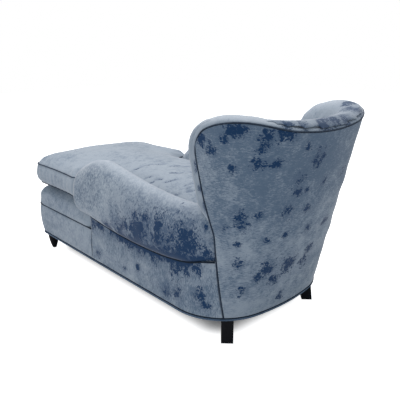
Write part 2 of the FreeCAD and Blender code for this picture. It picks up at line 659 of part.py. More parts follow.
def spring_shape():
    """One zigzag spring across the seat: straight loops joined by half-turn bends, each two quarter arcs."""
    loops = 2 * int(clip_x / (2 * S.spring_loop_radius)) + 1
    radius = 2 * clip_x / (loops - 1) / 2
    reach = S.spring_loop_length / 2
    edges = []
    for k in range(loops):
        x = -clip_x + 2 * radius * k
        way = 1 if k % 2 == 0 else -1
        edges.append(Part.makeLine(Vector(x, -way * reach, 0), Vector(x, way * reach, 0)))
        if k == loops - 1:
            break
        low, far = Vector(x, way * reach, 0), Vector(x + 2 * radius, way * reach, 0)
        top = Vector(x + radius, way * (reach + radius), 0)
        slack = radius * (1 - DIAGONAL)
        rise = way * (reach + radius * DIAGONAL)
        edges.append(Part.Arc(low, Vector(x + slack, rise, 0), top).toShape())
        edges.append(Part.Arc(top, Vector(x + 2 * radius - slack, rise, 0), far).toShape())
    start = Vector(-clip_x, -reach, 0)
    section = Part.Wire(Part.makeCircle(S.spring_wire / 2, start, Vector(0, 1, 0)))
    return Part.Wire(edges).makePipeShell([section], True, False)


spring = spring_shape()
shaped("seat_springs", Part.makeCompound([spring.translated(Vector(0, y, wire_height)) for y in spring_rows]))
clips = []
tunnel = S.spring_wire / 2 + S.clip_fit
for y in spring_rows:
    for sign in (1, -1):
        span = (sign * clip_x - S.clip_width / 2, sign * clip_x + S.clip_width / 2)
        along = (y - S.clip_length / 2, y + S.clip_length / 2)
        solid = block(span, along, (rail_top, rail_top + S.clip_height))
        mouth = Vector(sign * clip_x, along[0], wire_height)
        clips.append(solid.cut(Part.makeCylinder(tunnel, S.clip_length, mouth, Vector(0, 1, 0))))
shaped("spring_clips", Part.makeCompound(clips))

# Seat deck: hessian over the springs, then a padded deck with a rolled edge, wide in front of the arms

hessian_low = rail_top + S.clip_height
deck_low = hessian_low + S.hessian_thickness + S.soft_gap
tub_inner_radius = S.back_corner_radius - S.back_thickness
bow_drop = corner_x ** 2 / 2 / (S.back_bow_radius - S.back_thickness)
deck_rear = base_rear + shift(deck_low) - S.back_thickness - bow_drop - S.soft_gap
deck_neck = S.arm_clear_width / 2 - S.soft_gap


def whole(right):
    """A closed outline's corners from those on its right, foot to rear."""
    return right + [(-x, y, radius) for x, y, radius in reversed(right)]


def prism(wire, height):
    return Part.Face(wire).extrude(Vector(0, 0, height))


def deck_corners(foot_y):
    """A T in plan: a wide foot part and a neck between the arms."""
    return whole([
        (half_width, foot_y, S.foot_corner_radius), (half_width, front_seam, S.deck_shoulder_radius),
        (deck_neck, front_seam, S.deck_notch_radius), (deck_neck, deck_rear, tub_inner_radius),
    ])


border_top = S.border_seam_height + S.welt_width / 2 + S.soft_gap
core_plan = drawn_in(deck_corners(foot_face + S.foot_tuck), frame_out + S.soft_gap)
deck_base = prism(rounded_wire(core_plan, deck_low), border_top - deck_low)
deck_pad = prism(rounded_wire(deck_corners(foot_face), border_top), S.deck_height - border_top)
rim = [edge for edge in deck_pad.Edges if edge.BoundBox.ZMin > S.deck_height - S.soft_gap]
deck_pad = deck_pad.makeFillet(S.deck_edge_radius, rim)
shaped("seat_deck", deck_base.fuse(deck_pad))
shaped("seat_hessian", prism(rounded_wire(core_plan, hessian_low), S.hessian_thickness))

# Inside back: one padded tub with a roll that stands above the piping and comes forward on the wings

seam_y = rear_top - S.seam_setback - S.welt_width - S.soft_gap
# Sine of the angle under which two directions count as one
NEARLY_PARALLEL = 0.01
tuck_top_y = wing_edge_y(S.tuck_high, S.roll_rise, S.wing_roll_reach)


def arm_side(clearance):
    """The space in front of the upright seam that belongs to the arms, with its slanting top."""
    return side_view([
        (-WIDE, 0), (seam_y + clearance, 0), (seam_y + clearance, S.tuck_low),
        (tuck_top_y + clearance, S.tuck_high), (-WIDE, S.tuck_high),
    ])


def rolled(pad, inset, radius):
    """Round the pad's rim at an inset from the tub's outer face."""
    along_lean = Vector(0, lean, 1).normalize()
    rim = []
    for edge in pad.Edges:
        middle = edge.valueAt((edge.FirstParameter + edge.LastParameter) / 2)
        in_face = edge.tangentAt(edge.FirstParameter).cross(along_lean).Length < NEARLY_PARALLEL
        on_rim = abs(inset_of(middle) - inset) < S.soft_gap
        if on_rim and edge.BoundBox.ZMax > S.inside_back_low + S.soft_gap and not in_face:
            rim.append(edge)
    return pad.makeFillet(radius, rim)


back_roll = back_outline(S.roll_rise, S.wing_roll_reach)
inside_back = tub(S.roll_inset, S.back_thickness, S.inside_back_low, ABOVE_ALL).common(back_roll)
inside_back = rolled(inside_back, S.roll_inset, S.roll_outer_radius)
inside_back = rolled(inside_back, S.back_thickness, S.roll_inner_radius)
frame_room = tub(-half_width / 2, pad_out, 0, ABOVE_ALL).common(back_outline(S.welt_width + S.soft_gap))
inside_back = inside_back.cut(arm_side(S.soft_gap)).cut(frame_room)
shaped("inside_back", inside_back)

straps = []
strap_low, strap_high = S.lumbar_height, dip_height - S.back_rail_inset - S.back_rail_depth / 2
strap_layer = tub(frame_in, frame_in + S.strap_thickness, strap_low, strap_high)
for k in (-2, -1, 0, 1, 2):
    left = k * S.strap_spacing - S.strap_width / 2
    straps.append(strap_layer.common(block((left, left + S.strap_width), (0, WIDE), (0, ABOVE_ALL))))
shaped("back_webbing", Part.makeCompound(straps))

# Arms: padded rolls that overhang the base's sides, highest behind the nose and drawn in at the rear

arm_nose = foot_face + S.arm_front
arm_in = S.arm_clear_width / 2
arm_out = half_width + S.arm_overhang
crease_front = Vector(0, front_seam, S.crease_front_height)
crease_rear = Vector(0, seam_y, S.crease_rear_height)
crease_low = Vector(0, (front_seam + seam_y) / 2, S.crease_low_height)
crease = Part.Arc(crease_front, crease_low, crease_rear).toShape()


def crease_at(y):
    """Height of the crease under an arm: a circle through its front, lowest and rear points."""
    centre, radius = crease.Curve.Center, crease.Curve.Radius
    return centre.z - math.sqrt(radius ** 2 - (y - centre.y) ** 2)


def arm_section(y, inner, outer, low, high, swept):
    """An arm's closed section: flat underside, outer round, crest, inner round and inner face.

    Swept goes from 1 at the nose's tip to 0 behind it; it moves the crest out and drops the inner round.
    """
    tall = high - low
    lip = min(S.arm_overhang, (outer - inner) / 3)
    crest_x = inner + (S.arm_crest_share + S.nose_crest_shift * swept) * (outer - inner)
    widest_z = low + S.arm_widest_share * tall
    shoulder_z = low + (S.arm_shoulder_share - S.nose_shoulder_drop * swept) * tall

    def at(x, z):
        return Vector(x, y, z)

    heel, under = at(inner, low), at(outer - lip, low)
    widest, crest, shoulder = at(outer, widest_z), at(crest_x, high), at(inner, shoulder_z)
    under_mid = at(outer - lip * (1 - DIAGONAL), widest_z - (widest_z - low) * DIAGONAL)
    outer_mid = at(crest_x + (outer - crest_x) * DIAGONAL, widest_z + (high - widest_z) * DIAGONAL)
    inner_mid = at(crest_x - (crest_x - inner) * DIAGONAL, shoulder_z + (high - shoulder_z) * DIAGONAL)
    return Part.Wire([
        Part.makeLine(heel, under),
        Part.Arc(under, under_mid, widest).toShape(),
        Part.Arc(widest, outer_mid, crest).toShape(),
        Part.Arc(crest, inner_mid, shoulder).toShape(),
        Part.makeLine(shoulder, heel),
    ])


arm_length = seam_y - arm_nose
nose_low = S.deck_height + S.soft_gap
NOSE_STEPS = 5
BODY_STEPS = 12


def tub_half_width(inset, y, height):
    """Half the tub's width at a place along it, drawn in by an inset."""
    behind = max(0, y - side_end - shift(height))
    return corner_x + math.sqrt((S.back_corner_radius - inset) ** 2 - behind ** 2)


def arm_top(share):
    """Height of an arm's crest at a share of its length: a rise to the peak, then a slow fall to the wing."""
    if share < S.arm_peak_share:
        rise = math.sin(math.pi / 2 * share / S.arm_peak_share)
        return S.arm_nose_height + (S.arm_peak_height - S.arm_nose_height) * rise
    fall = math.sin(math.pi / 2 * min(1, (share - S.arm_peak_share) / (1 - S.arm_peak_share)))
    return S.arm_peak_height + (S.arm_rear_height - S.arm_peak_height) * fall


def arm_station(y, swell):
    """The arm's section at y; swell goes from 0 at the nose's tip to 1 where it has its full round."""
    share = (y - arm_nose) / arm_length
    level = S.arm_rail_height
    tucked = max(0, (share - S.arm_tuck_share) / (1 - S.arm_tuck_share))
    lip = S.arm_overhang - (S.arm_overhang + S.welt_stand) * min(1, tucked) ** 2
    drawn = S.nose_round * (1 - swell)
    swept = 1 - math.sin(math.pi / 2 * min(1, (y - arm_nose) / S.nose_sweep_length))
    outer = tub_half_width(0, y, level) + lip - drawn
    inner = min(arm_in, tub_half_width(S.back_thickness, y, level)) + S.nose_sweep * swept
    low = max(crease_at(y), nose_low if y < front_seam else 0) + S.soft_gap + drawn
    return arm_section(y, inner, outer, low, arm_top(share) - drawn, swept)


stations = []
for k in range(NOSE_STEPS):
    angle = math.pi / 2 * (k + 1) / (NOSE_STEPS + 1)
    stations.append(arm_station(arm_nose + S.nose_round * (1 - math.cos(angle)), math.sin(angle)))
for k in range(BODY_STEPS + 1):
    y = arm_nose + S.nose_round + (arm_length - S.nose_round) * k / BODY_STEPS
    stations.append(arm_station(y, 1))
stations.append(arm_station(seam_y + S.welt_width, 1))
arm_roll = Part.makeLoft(stations, True, True)
deck_step = block((0, WIDE), (-WIDE, front_seam + S.soft_gap), (0, nose_low))
rail_room = tub(frame_out - S.soft_gap, frame_in + S.soft_gap, arm_rail_span[0] - S.soft_gap,
                arm_rail_span[1] + S.soft_gap, front=arm_rail_front - S.soft_gap)
post_x = (half_width - frame_in - S.soft_gap, half_width - frame_out + S.soft_gap)
post_front = front_seam + S.panel_thickness
post_y = (post_front - S.soft_gap, post_front + S.arm_post_depth + S.soft_gap)
post_room = block(post_x, post_y, (rail_top, S.arm_rail_height))
behind_arm = back_outline(S.roll_rise + S.soft_gap, S.wing_roll_reach).cut(arm_side(0))
behind_seam = back_outline(S.welt_width + S.soft_gap)
arm_pad = arm_roll.cut(behind_arm).cut(behind_seam).cut(deck_step).cut(rail_room).cut(post_room)
for side, sign in SIDES:
    shaped(f"arm_pad_{side}", arm_pad if sign > 0 else arm_pad.mirror(Vector(0, 0, 0), Vector(1, 0, 0)))

# Outside panels: one round the tub, one under each arm, one round the foot end

outside = tub(0, S.panel_thickness, panel_low, ABOVE_ALL)
shaped("outside_back", outside.common(back_outline(0)))
under_front, under_rear = Vector(0, front_seam, 0), Vector(0, seam_y, 0)
under_crease = Part.Face(Part.Wire([
    Part.makeLine(under_front, crease_front), crease,
    Part.makeLine(crease_rear, under_rear), Part.makeLine(under_rear, under_front),
]))
under_crease.translate(Vector(-WIDE / 2, S.soft_gap / 2, 0))
arm_panels = outside.common(under_crease.extrude(Vector(WIDE, 0, 0)))
for side, sign in SIDES:
    shaped(f"outside_arm_{side}", arm_panels.common(half(sign)))

border_low, border_high = panel_low, S.border_seam_height - S.welt_width / 2 - S.soft_gap
tucked_foot = foot_face + S.foot_tuck
shaped("foot_border", Part.makeLoft([
    band_wire(foot_path(0, tucked_foot, border_low), foot_path(S.panel_thickness, tucked_foot, border_low)),
    band_wire(foot_path(0, foot_face, border_high), foot_path(S.panel_thickness, foot_face, border_high)),
], True, True))

# Piping

back_edge = tub(-S.welt_stand, S.welt_depth, panel_low, ABOVE_ALL)
welt_strip = back_outline(S.welt_width).cut(back_outline(S.soft_gap))
shaped("back_welt", back_edge.common(welt_strip))
base_welt = base_plate(-S.welt_stand, S.base_height, S.base_height + S.welt_width)
shaped("base_welt", base_welt.cut(base_plate(S.welt_depth, 0, ABOVE_ALL)))
seam_low = S.border_seam_height - S.welt_width / 2
border_edges = [foot_path(inset, foot_face, seam_low) for inset in (-S.welt_stand, S.welt_depth)]
shaped("border_welt", prism(band_wire(*border_edges), S.welt_width))

# Dust cover, cut round the feet

dust_cover = base_plate(S.welt_depth + S.soft_gap, rail_low - S.cover_thickness, rail_low)
foot_hole = S.front_foot_diameter / 2 + S.soft_gap
foot_x = half_width - frame_in - S.front_foot_inset
foot_y = foot_face + S.foot_tuck + frame_out + S.front_foot_setback
for sign in (1, -1):
    dust_cover = dust_cover.cut(Part.makeCylinder(foot_hole, rail_low, Vector(sign * foot_x, foot_y, 0)))
    dust_cover = dust_cover.cut(rear_leg_blank(sign, S.soft_gap))
shaped("dust_cover", dust_cover)

# Loose seat cushion: crowned top and bottom, sides drawn in between its corners

cushion_rear = base_rear + shift(S.deck_height) - S.back_thickness - bow_drop - S.cushion_side_gap
cushion_neck = arm_in - S.cushion_side_gap
cushion_foot = foot_face - S.cushion_overhang
shoulder_y = arm_nose - S.cushion_side_gap
# A T in plan, its foot and side edges drawn in at their middles
CUSHION_CORNERS = whole([
    (half_width, cushion_foot, S.cushion_corner_radius),
    (half_width - S.cushion_draw, (cushion_foot + shoulder_y) / 2, S.cushion_draw_radius / 4),
    (half_width, shoulder_y, S.cushion_shoulder_radius),
    (cushion_neck, shoulder_y, S.cushion_notch_radius),
    (cushion_neck, cushion_rear, tub_inner_radius),
]) + [(0, cushion_foot + S.cushion_draw, S.cushion_draw_radius)]
# The crowned faces from the seam inwards: share of the crown's run, share of its rise
UNDERSIDE = ((0.6, 1), (0.28, 0.65))
TOPSIDE = ((0.27, 0.55), (0.6, 0.85), (1, 1))
seam_inset = S.welt_depth + S.soft_gap


def cushion_wire(inset, height):
    return rounded_wire(drawn_in(CUSHION_CORNERS, inset), height)


def cushion_form(shrink):
    """The cushion's crowned form, shrunk all round."""
    low, high = S.cushion_seam_low + shrink, S.cushion_seam_high - shrink
    drop, rise = S.cushion_seam_low - S.deck_height, S.cushion_crown_height - S.cushion_seam_high
    levels = [(run * S.cushion_crown_run, low - share * drop) for run, share in UNDERSIDE]
    levels += [(seam_inset, low), (S.soft_gap, (low + high) / 2), (seam_inset, high)]
    levels += [(run * S.cushion_crown_run, high + share * rise) for run, share in TOPSIDE]
    return Part.makeLoft([cushion_wire(inset + shrink, height) for inset, height in levels], True, True)


cushion_void = cushion_form(S.cushion_cover_wall)
shaped("cushion_cover", cushion_form(0).cut(cushion_void))
shaped("cushion_core", cushion_form(S.cushion_cover_wall + 2 * S.soft_gap))
for name, height in (("cushion_welt_low", S.cushion_seam_low), ("cushion_welt_high", S.cushion_seam_high)):
    low = height - S.welt_width / 2
    outer, inner = cushion_wire(-S.welt_stand, low), cushion_wire(S.welt_depth, low)
    shaped(name, prism(outer, S.welt_width).cut(prism(inner, S.welt_width)))
zip_low = (S.cushion_seam_low + S.cushion_seam_high - S.zip_width) / 2
zip_span = (-S.zip_length / 2, S.zip_length / 2)
zip_deep = (cushion_rear, cushion_rear + S.zip_thickness)
shaped("cushion_zip", block(zip_span, zip_deep, (zip_low, zip_low + S.zip_width)))

# Check everything, then write one file for each sub-part

doc.recompute()
for obj in doc.Objects:
    if {"Invalid", "Error"} & set(obj.State):
        raise RuntimeError(f"{obj.Name} failed: {obj.State}")
os.makedirs("parts", exist_ok=True)
for obj in PIECES:
    if obj.Shape.isNull() or not obj.Shape.isValid():
        raise RuntimeError(f"{obj.Label} has no valid shape")
    obj.Shape.exportStep(f"parts/{obj.Label}.step")
print(len(PIECES), "sub-parts written")
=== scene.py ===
"""Looks of the upholstered chaise longue: crushed velvet over a tub back, arms, base and loose cushion.

Metres, in the CAD part's frame: +Z up, the foot end at -Y, the back at +Y.
"""
import json
import math

import bmesh
import bpy
import numpy as np
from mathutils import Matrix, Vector


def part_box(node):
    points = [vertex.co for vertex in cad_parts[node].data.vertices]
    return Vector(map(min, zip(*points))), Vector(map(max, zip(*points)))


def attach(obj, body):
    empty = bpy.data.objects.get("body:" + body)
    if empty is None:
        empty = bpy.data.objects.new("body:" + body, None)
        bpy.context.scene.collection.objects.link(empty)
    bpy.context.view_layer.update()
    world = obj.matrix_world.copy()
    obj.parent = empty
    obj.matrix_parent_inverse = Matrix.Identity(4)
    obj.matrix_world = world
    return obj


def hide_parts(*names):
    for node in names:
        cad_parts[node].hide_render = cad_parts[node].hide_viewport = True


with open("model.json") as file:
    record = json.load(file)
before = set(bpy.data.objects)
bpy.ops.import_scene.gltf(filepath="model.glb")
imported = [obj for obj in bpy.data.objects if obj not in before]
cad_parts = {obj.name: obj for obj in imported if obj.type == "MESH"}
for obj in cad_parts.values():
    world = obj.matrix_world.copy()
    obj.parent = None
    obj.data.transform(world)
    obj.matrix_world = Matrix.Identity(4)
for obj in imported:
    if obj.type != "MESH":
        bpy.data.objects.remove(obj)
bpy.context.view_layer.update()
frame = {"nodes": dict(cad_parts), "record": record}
SCENE = bpy.context.scene
SCENE.view_settings.view_transform = "Standard"

# Camera, at the photograph's place

AZIMUTH, ELEVATION = math.radians(137.70), math.radians(16.99)
EYE = Vector((1.4354, 1.6759, 1.0785))
SENSOR, FOCAL_PIXELS, FRAME_PIXELS = 36, 501.07, 400
camera_data = bpy.data.cameras.new("camera")
camera_data.sensor_width = SENSOR
camera_data.lens = FOCAL_PIXELS / FRAME_PIXELS * SENSOR
camera_data.shift_x, camera_data.shift_y = 0.0101, -0.0159
camera = bpy.data.objects.new("camera", camera_data)
SCENE.collection.objects.link(camera)
backward = Vector((
    math.sin(AZIMUTH) * math.cos(ELEVATION),
    -math.cos(AZIMUTH) * math.cos(ELEVATION),
    math.sin(ELEVATION),
))
camera.location = EYE
camera.rotation_euler = (-backward).to_track_quat("-Z", "Y").to_euler()
SCENE.camera = camera

# Sizes shared with the part's source

HALF_WIDTH = 0.350
BASE_HEIGHT = 0.100
LEAN = math.tan(math.radians(12.65))
REAR_TOP = 0.778
FOOT_FACE = -0.772
FRONT_SEAM = FOOT_FACE + 0.543
BACK_CORNER, BACK_BOW = 0.230, 0.900
WING_HEIGHT, WING_CORNER_HEIGHT, WING_CORNER = 0.842, 0.735, 0.085
WING_SLOPE, CROWN_SLOPE = math.radians(15), math.radians(25)
BUTTERFLY = 0.180
SEAM_Y = REAR_TOP - 0.227
SEAM_BEND = 0.160
FOOT_TUCK, FOOT_CORNER = 0.025, 0.045
BORDER_SEAM, DECK_HEIGHT = 0.257, 0.352
ARM_NOSE = FOOT_FACE + 0.424
ARM_INNER, ARM_OVERHANG = 0.246, 0.036
CUSHION_LOW, CUSHION_HIGH = 0.371, 0.471
CLOTH_WALL = 0.005
WELD, CORD_WELD = 1e-6, 1e-5
PLAN_STEP = 0.006

corner_y = REAR_TOP - 0.300 + WING_CORNER
crown_start_z = WING_CORNER_HEIGHT + WING_CORNER * math.cos(CROWN_SLOPE)
crown_radius = (WING_HEIGHT - crown_start_z) / (1 - math.cos(CROWN_SLOPE))
crown_y = corner_y - WING_CORNER * math.sin(CROWN_SLOPE) + crown_radius * math.sin(CROWN_SLOPE)
dip_height = WING_HEIGHT - BUTTERFLY + math.sqrt(BUTTERFLY ** 2 - (REAR_TOP - crown_y) ** 2)
base_rear = REAR_TOP - LEAN * (dip_height - BASE_HEIGHT)
corner_x = HALF_WIDTH - BACK_CORNER
bow_y = base_rear - BACK_BOW
side_end = bow_y + math.sqrt((BACK_BOW - BACK_CORNER) ** 2 - corner_x ** 2)
bow_angle = math.atan2(side_end - bow_y, corner_x)


# Curves of numbers

def ramp(value, start, length):
    """0 up to start, then rising evenly to 1 over a length."""
    return np.clip((value - start) / length, 0, 1)


def eased(share):
    """A share from 0 to 1 with soft ends: three squares less two cubes."""
    return share ** 2 * (3 - 2 * share)


def bell(away, width):
    """1 in the middle, falling off with the square of the distance over a width."""
    return np.exp(-(away / width) ** 2)


def unit(vectors):
    """Vectors of the same directions, each of length 1."""
    return vectors / np.linalg.norm(vectors, axis=-1, keepdims=True)


def arc(centre_y, centre_z, radius, start, end, count):
    """Points (y, z) on a circle between two angles in radians."""
    angle = np.linspace(start, end, count)
    return np.column_stack([centre_y + radius * np.cos(angle), centre_z + radius * np.sin(angle)])


# Meshes from grids

def surface(name, grid, round_u=False, round_v=False, weld=WELD):
    """A mesh from a grid of points; round_u or round_v joins that direction's last row to its first."""
    rows, columns = grid.shape[:2]
    index = np.arange(rows * columns).reshape(rows, columns)
    if round_u:
        index = np.vstack([index, index[:1]])
    if round_v:
        index = np.hstack([index, index[:, :1]])
    corners = np.stack([index[:-1, :-1], index[1:, :-1], index[1:, 1:], index[:-1, 1:]], axis=-1)
    corners = corners.reshape(-1, 4)
    mesh = bpy.data.meshes.new(name)
    mesh.vertices.add(rows * columns)
    mesh.vertices.foreach_set("co", grid.reshape(-1).astype(np.float32))
    mesh.loops.add(corners.size)
    mesh.loops.foreach_set("vertex_index", corners.reshape(-1).astype(np.int32))
    mesh.polygons.add(len(corners))
    mesh.polygons.foreach_set("loop_start", np.arange(0, corners.size, 4, dtype=np.int32))
    mesh.update(calc_edges=True)
    mesh.validate()
    return finished(name, mesh, weld)


def reworked(mesh, change):
    """Put a mesh through one change made in bmesh."""
    work = bmesh.new()
    work.from_mesh(mesh)
    change(work)
    work.to_mesh(mesh)
    work.free()


def finished(name, mesh, weld=WELD):
    """Weld doubles, drop empty faces, smooth the shading and link the object."""
    def clean(work):
        bmesh.ops.remove_doubles(work, verts=work.verts, dist=weld)
        bmesh.ops.dissolve_degenerate(work, edges=work.edges, dist=weld)

    reworked(mesh, clean)
    mesh.polygons.foreach_set("use_smooth", np.ones(len(mesh.polygons), dtype=bool))
    mesh.update()
    obj = bpy.data.objects.new(name, mesh)
    SCENE.collection.objects.link(obj)
    return obj


def outward(obj):
    """Recalculate the faces of a closed mesh so that they point outwards."""
    reworked(obj.data, lambda work: bmesh.ops.recalc_face_normals(work, faces=work.faces))
    return obj


def thick(obj):
    """Give a sheet of faces a wall behind its front."""
    wall = obj.modifiers.new("wall", "SOLIDIFY")
    wall.thickness = CLOTH_WALL
    wall.offset = -1
    return obj


def read(items, name):
    """One vector for each of a mesh's items, as an array."""
    values = np.empty(len(items) * 3, dtype=np.float32)
    items.foreach_get(name, values)
    return values.reshape(-1, 3).astype(float)


def points_of(obj):
    """All of a mesh's points as an array."""
    return read(obj.data.vertices, "co")


def set_points(obj, points):
    """Put a mesh's points where an array says."""
    obj.data.vertices.foreach_set("co", points.reshape(-1).astype(np.float32))
    obj.data.update()
    return obj


def piping(name, path, across, radius, closed=False, sides=12):
    """A round cord carried along a path: each ring stands square to the path, starting from a known side."""
    if closed:
        along = unit(np.roll(path, -1, axis=0) - np.roll(path, 1, axis=0))
    else:
        along = unit(np.gradient(path, axis=0))
    across = unit(across - along * np.sum(across * along, axis=1, keepdims=True))
    third = np.cross(along, across)
    angle = np.linspace(0, 2 * np.pi, sides, endpoint=False)[None, :, None]
    rings = path[:, None] + radius * (across[:, None] * np.cos(angle) + third[:, None] * np.sin(angle))
    if not closed:
        rings = np.concatenate([
            np.repeat(path[:1, None], sides, 1), rings, np.repeat(path[-1:, None], sides, 1),
        ])
    return outward(surface(name, rings, round_u=closed, round_v=True, weld=CORD_WELD))


# The tub: a plan outline that leans back with height, and its side view

BOW_HALF = BACK_BOW * (math.pi / 2 - bow_angle)
CORNER_LENGTH = BACK_CORNER * bow_angle


def tub_plan(along):
    """Plan point (x, y at base height) and outward normal at a signed distance from the middle of the rear.

    The outline is a shallow rear bow, a corner arc and a straight side, mirrored for negative distances.
    """
    side = np.where(along < 0, -1.0, 1.0)
    reach = np.abs(along)
    bow = np.pi / 2 - np.minimum(reach, BOW_HALF) / BACK_BOW
    corner = bow_angle - np.clip(reach - BOW_HALF, 0, CORNER_LENGTH) / BACK_CORNER
    straight = np.maximum(reach - BOW_HALF - CORNER_LENGTH, 0)
    on_bow = reach < BOW_HALF
    angle = np.where(on_bow, bow, corner)
    x = np.where(on_bow, BACK_BOW * np.cos(angle), corner_x + BACK_CORNER * np.cos(angle))
    y = np.where(on_bow, bow_y + BACK_BOW * np.sin(angle), side_end + BACK_CORNER * np.sin(angle)) - straight
    return side * x, y, side * np.cos(angle), np.sin(angle)


def tub_half_width(y, z):
    """Half the tub's width at a place and height: straight, then round the corner."""
    behind = np.clip(y - LEAN * (z - BASE_HEIGHT) - side_end, 0, BACK_CORNER - 0.001)
    return corner_x + np.sqrt(BACK_CORNER ** 2 - behind ** 2)


def back_side_view():
    """The back's piping line from the side as points (y, z), foot of the seam to the dip in the middle."""
    touch_angle = math.pi + WING_SLOPE
    touch = np.array([corner_y + WING_CORNER * math.cos(touch_angle),
                      WING_CORNER_HEIGHT + WING_CORNER * math.sin(touch_angle)])
    meet_z = touch[1] - (SEAM_Y - touch[0]) / math.tan(WING_SLOPE)
    reach = SEAM_BEND * math.tan(WING_SLOPE / 2)
    upright = np.column_stack([np.full(60, SEAM_Y), np.linspace(BASE_HEIGHT, meet_z - reach, 60)])
    bend = arc(SEAM_Y - SEAM_BEND, meet_z - reach, SEAM_BEND, 0, WING_SLOPE, 30)
    corner = arc(corner_y, WING_CORNER_HEIGHT, WING_CORNER, touch_angle, math.pi / 2 + CROWN_SLOPE, 80)
    crown_z = WING_HEIGHT - crown_radius
    crown = arc(crown_y, crown_z, crown_radius, math.pi / 2 + CROWN_SLOPE, math.pi / 2, 60)
    dip_angle = math.asin((dip_height - WING_HEIGHT + BUTTERFLY) / BUTTERFLY)
    fall = arc(crown_y, WING_HEIGHT - BUTTERFLY, BUTTERFLY, math.pi / 2, dip_angle, 80)
    straight = np.linspace(bend[-1], touch, 60)
    return np.vstack([upright, bend[1:], straight[1:], corner[1:], crown[1:], fall[1:]])


side_line = back_side_view()
leaned_y = side_line[:, 0] - LEAN * (side_line[:, 1] - BASE_HEIGHT)
foremost = int(np.argmin(leaned_y))
FULL_REACH = BOW_HALF + CORNER_LENGTH + side_end - leaned_y[foremost]


def panel_span(along):
    """Lowest and highest point of the outside back above each place along the tub's plan."""
    _, y, _, _ = tub_plan(along)
    low = np.interp(y, leaned_y[:foremost + 1][::-1], side_line[:foremost + 1, 1][::-1])
    high = np.interp(y, leaned_y[foremost:], side_line[foremost:, 1])
    return np.where(y >= leaned_y[0], BASE_HEIGHT, low), high


def on_tub(along, z, inset=0.0):
    """A point on the tub's outer face, drawn in by an inset, with its horizontal outward normal."""
    x, y, normal_x, normal_y = tub_plan(along)
    leaning = LEAN * (z - BASE_HEIGHT)
    point = np.stack([x - inset * normal_x, y - inset * normal_y + leaning, z + 0 * x], axis=-1)
    return point, np.stack([normal_x, normal_y, 0 * normal_x], axis=-1)


# Crushed pile: where the velvet lies over, by place and size, with painted shade under the arms and in the
# cushion's creases

def painted(obj, name, value):
    """Store one number for each point of a mesh, for its material to read."""
    layer = obj.data.attributes.new(name, "FLOAT", "POINT")
    layer.data.foreach_set("value", value.astype(np.float32))
    return obj


SPOT_SPREAD = 1.35
FRINGE_END = 0.08


def crushed(obj, spots=(), fringe=None):
    """Store how near each point is to the crushed places: 1 at a spot's middle, falling off as a bell. On the
    arms the broad spots stand for painted shade as well as crushed pile.

    A fringe is a second bell, of a given depth and strength, along an arm's crease from its first to its
    last y: painted shade under the arm, with crushed pile.
    """
    points = points_of(obj)
    value = np.zeros(len(points))
    for x, y, z, size in spots:
        away = np.linalg.norm(points - (x, y, z), axis=1)
        value = np.maximum(value, bell(away, SPOT_SPREAD * size))
    if fringe:
        depth, strength, first, last = fringe
        y = points[:, 1]
        ends = ramp(y, first, FRINGE_END) * ramp(-y, -last, FRINGE_END)
        value = np.maximum(value, strength * ends * bell(points[:, 2] - crease_at(y), depth))
    return painted(obj, "crush_and_shade", value)


def painted_highlight(obj):
    """Store how far each point faces up, for a painted highlight on its top: 0 on the sides, 1 on a crest."""
    upward = read(obj.data.vertices, "normal")[:, 2]
    return painted(obj, "painted_highlight", eased(ramp(upward, 0.25, 0.70)))


def on_side(spots, sign):
    """Spots of the right side, or the same mirrored to the left."""
    return [(sign * x, y, z, size) for x, y, z, size in spots]


BACK_SPOTS = [
    (0.33, 0.63, 0.82, 0.025), (0.32, 0.65, 0.82, 0.021), (0.34, 0.60, 0.79, 0.019),
    (0.35, 0.51, 0.77, 0.023), (0.35, 0.55, 0.75, 0.022), (0.35, 0.56, 0.74, 0.016),
    (0.26, 0.71, 0.79, 0.028), (0.27, 0.70, 0.76, 0.019), (0.23, 0.74, 0.81, 0.022),
    (0.20, 0.75, 0.81, 0.025), (0.28, 0.69, 0.71, 0.022), (0.26, 0.70, 0.71, 0.019),
    (0.23, 0.72, 0.71, 0.016), (0.32, 0.62, 0.69, 0.016), (0.05, 0.76, 0.71, 0.031),
    (0.12, 0.76, 0.76, 0.016), (0.12, 0.73, 0.64, 0.027), (0.11, 0.73, 0.60, 0.020),
    (0.07, 0.73, 0.60, 0.014), (-0.02, 0.74, 0.61, 0.016), (0.29, 0.63, 0.52, 0.026),
    (0.28, 0.63, 0.50, 0.023), (0.32, 0.59, 0.48, 0.017), (0.14, 0.71, 0.53, 0.027),
    (0.24, 0.67, 0.53, 0.016), (0.04, 0.71, 0.52, 0.018), (0.00, 0.70, 0.43, 0.019),
    (0.20, 0.67, 0.43, 0.014), (0.12, 0.69, 0.44, 0.014), (0.28, 0.61, 0.42, 0.014),
    (0.27, 0.61, 0.34, 0.024), (0.16, 0.65, 0.31, 0.036), (0.12, 0.65, 0.25, 0.030),
    (0.06, 0.66, 0.30, 0.041), (-0.04, 0.66, 0.28, 0.031), (-0.05, 0.67, 0.33, 0.023),
    (0.20, 0.64, 0.28, 0.022), (0.24, 0.60, 0.23, 0.022), (0.06, 0.63, 0.16, 0.023),
    (-0.15, 0.72, 0.62, 0.023), (-0.12, 0.69, 0.43, 0.023), (-0.24, 0.66, 0.38, 0.030),
    (-0.28, 0.67, 0.62, 0.032), (-0.33, 0.58, 0.52, 0.025), (-0.34, 0.60, 0.76, 0.030),
    (-0.30, 0.58, 0.24, 0.028),
]
ROLL_SPOTS = [
    (-0.01, 0.76, 0.83, 0.040), (-0.08, 0.77, 0.83, 0.035), (0.05, 0.77, 0.82, 0.030),
    (0.21, 0.74, 0.84, 0.024), (0.15, 0.76, 0.83, 0.020), (-0.20, 0.72, 0.84, 0.040),
    (-0.27, 0.66, 0.85, 0.030), (0.36, 0.50, 0.74, 0.024), (0.36, 0.49, 0.68, 0.020),
    (0.35, 0.51, 0.61, 0.016), (0.35, 0.53, 0.55, 0.018),
]
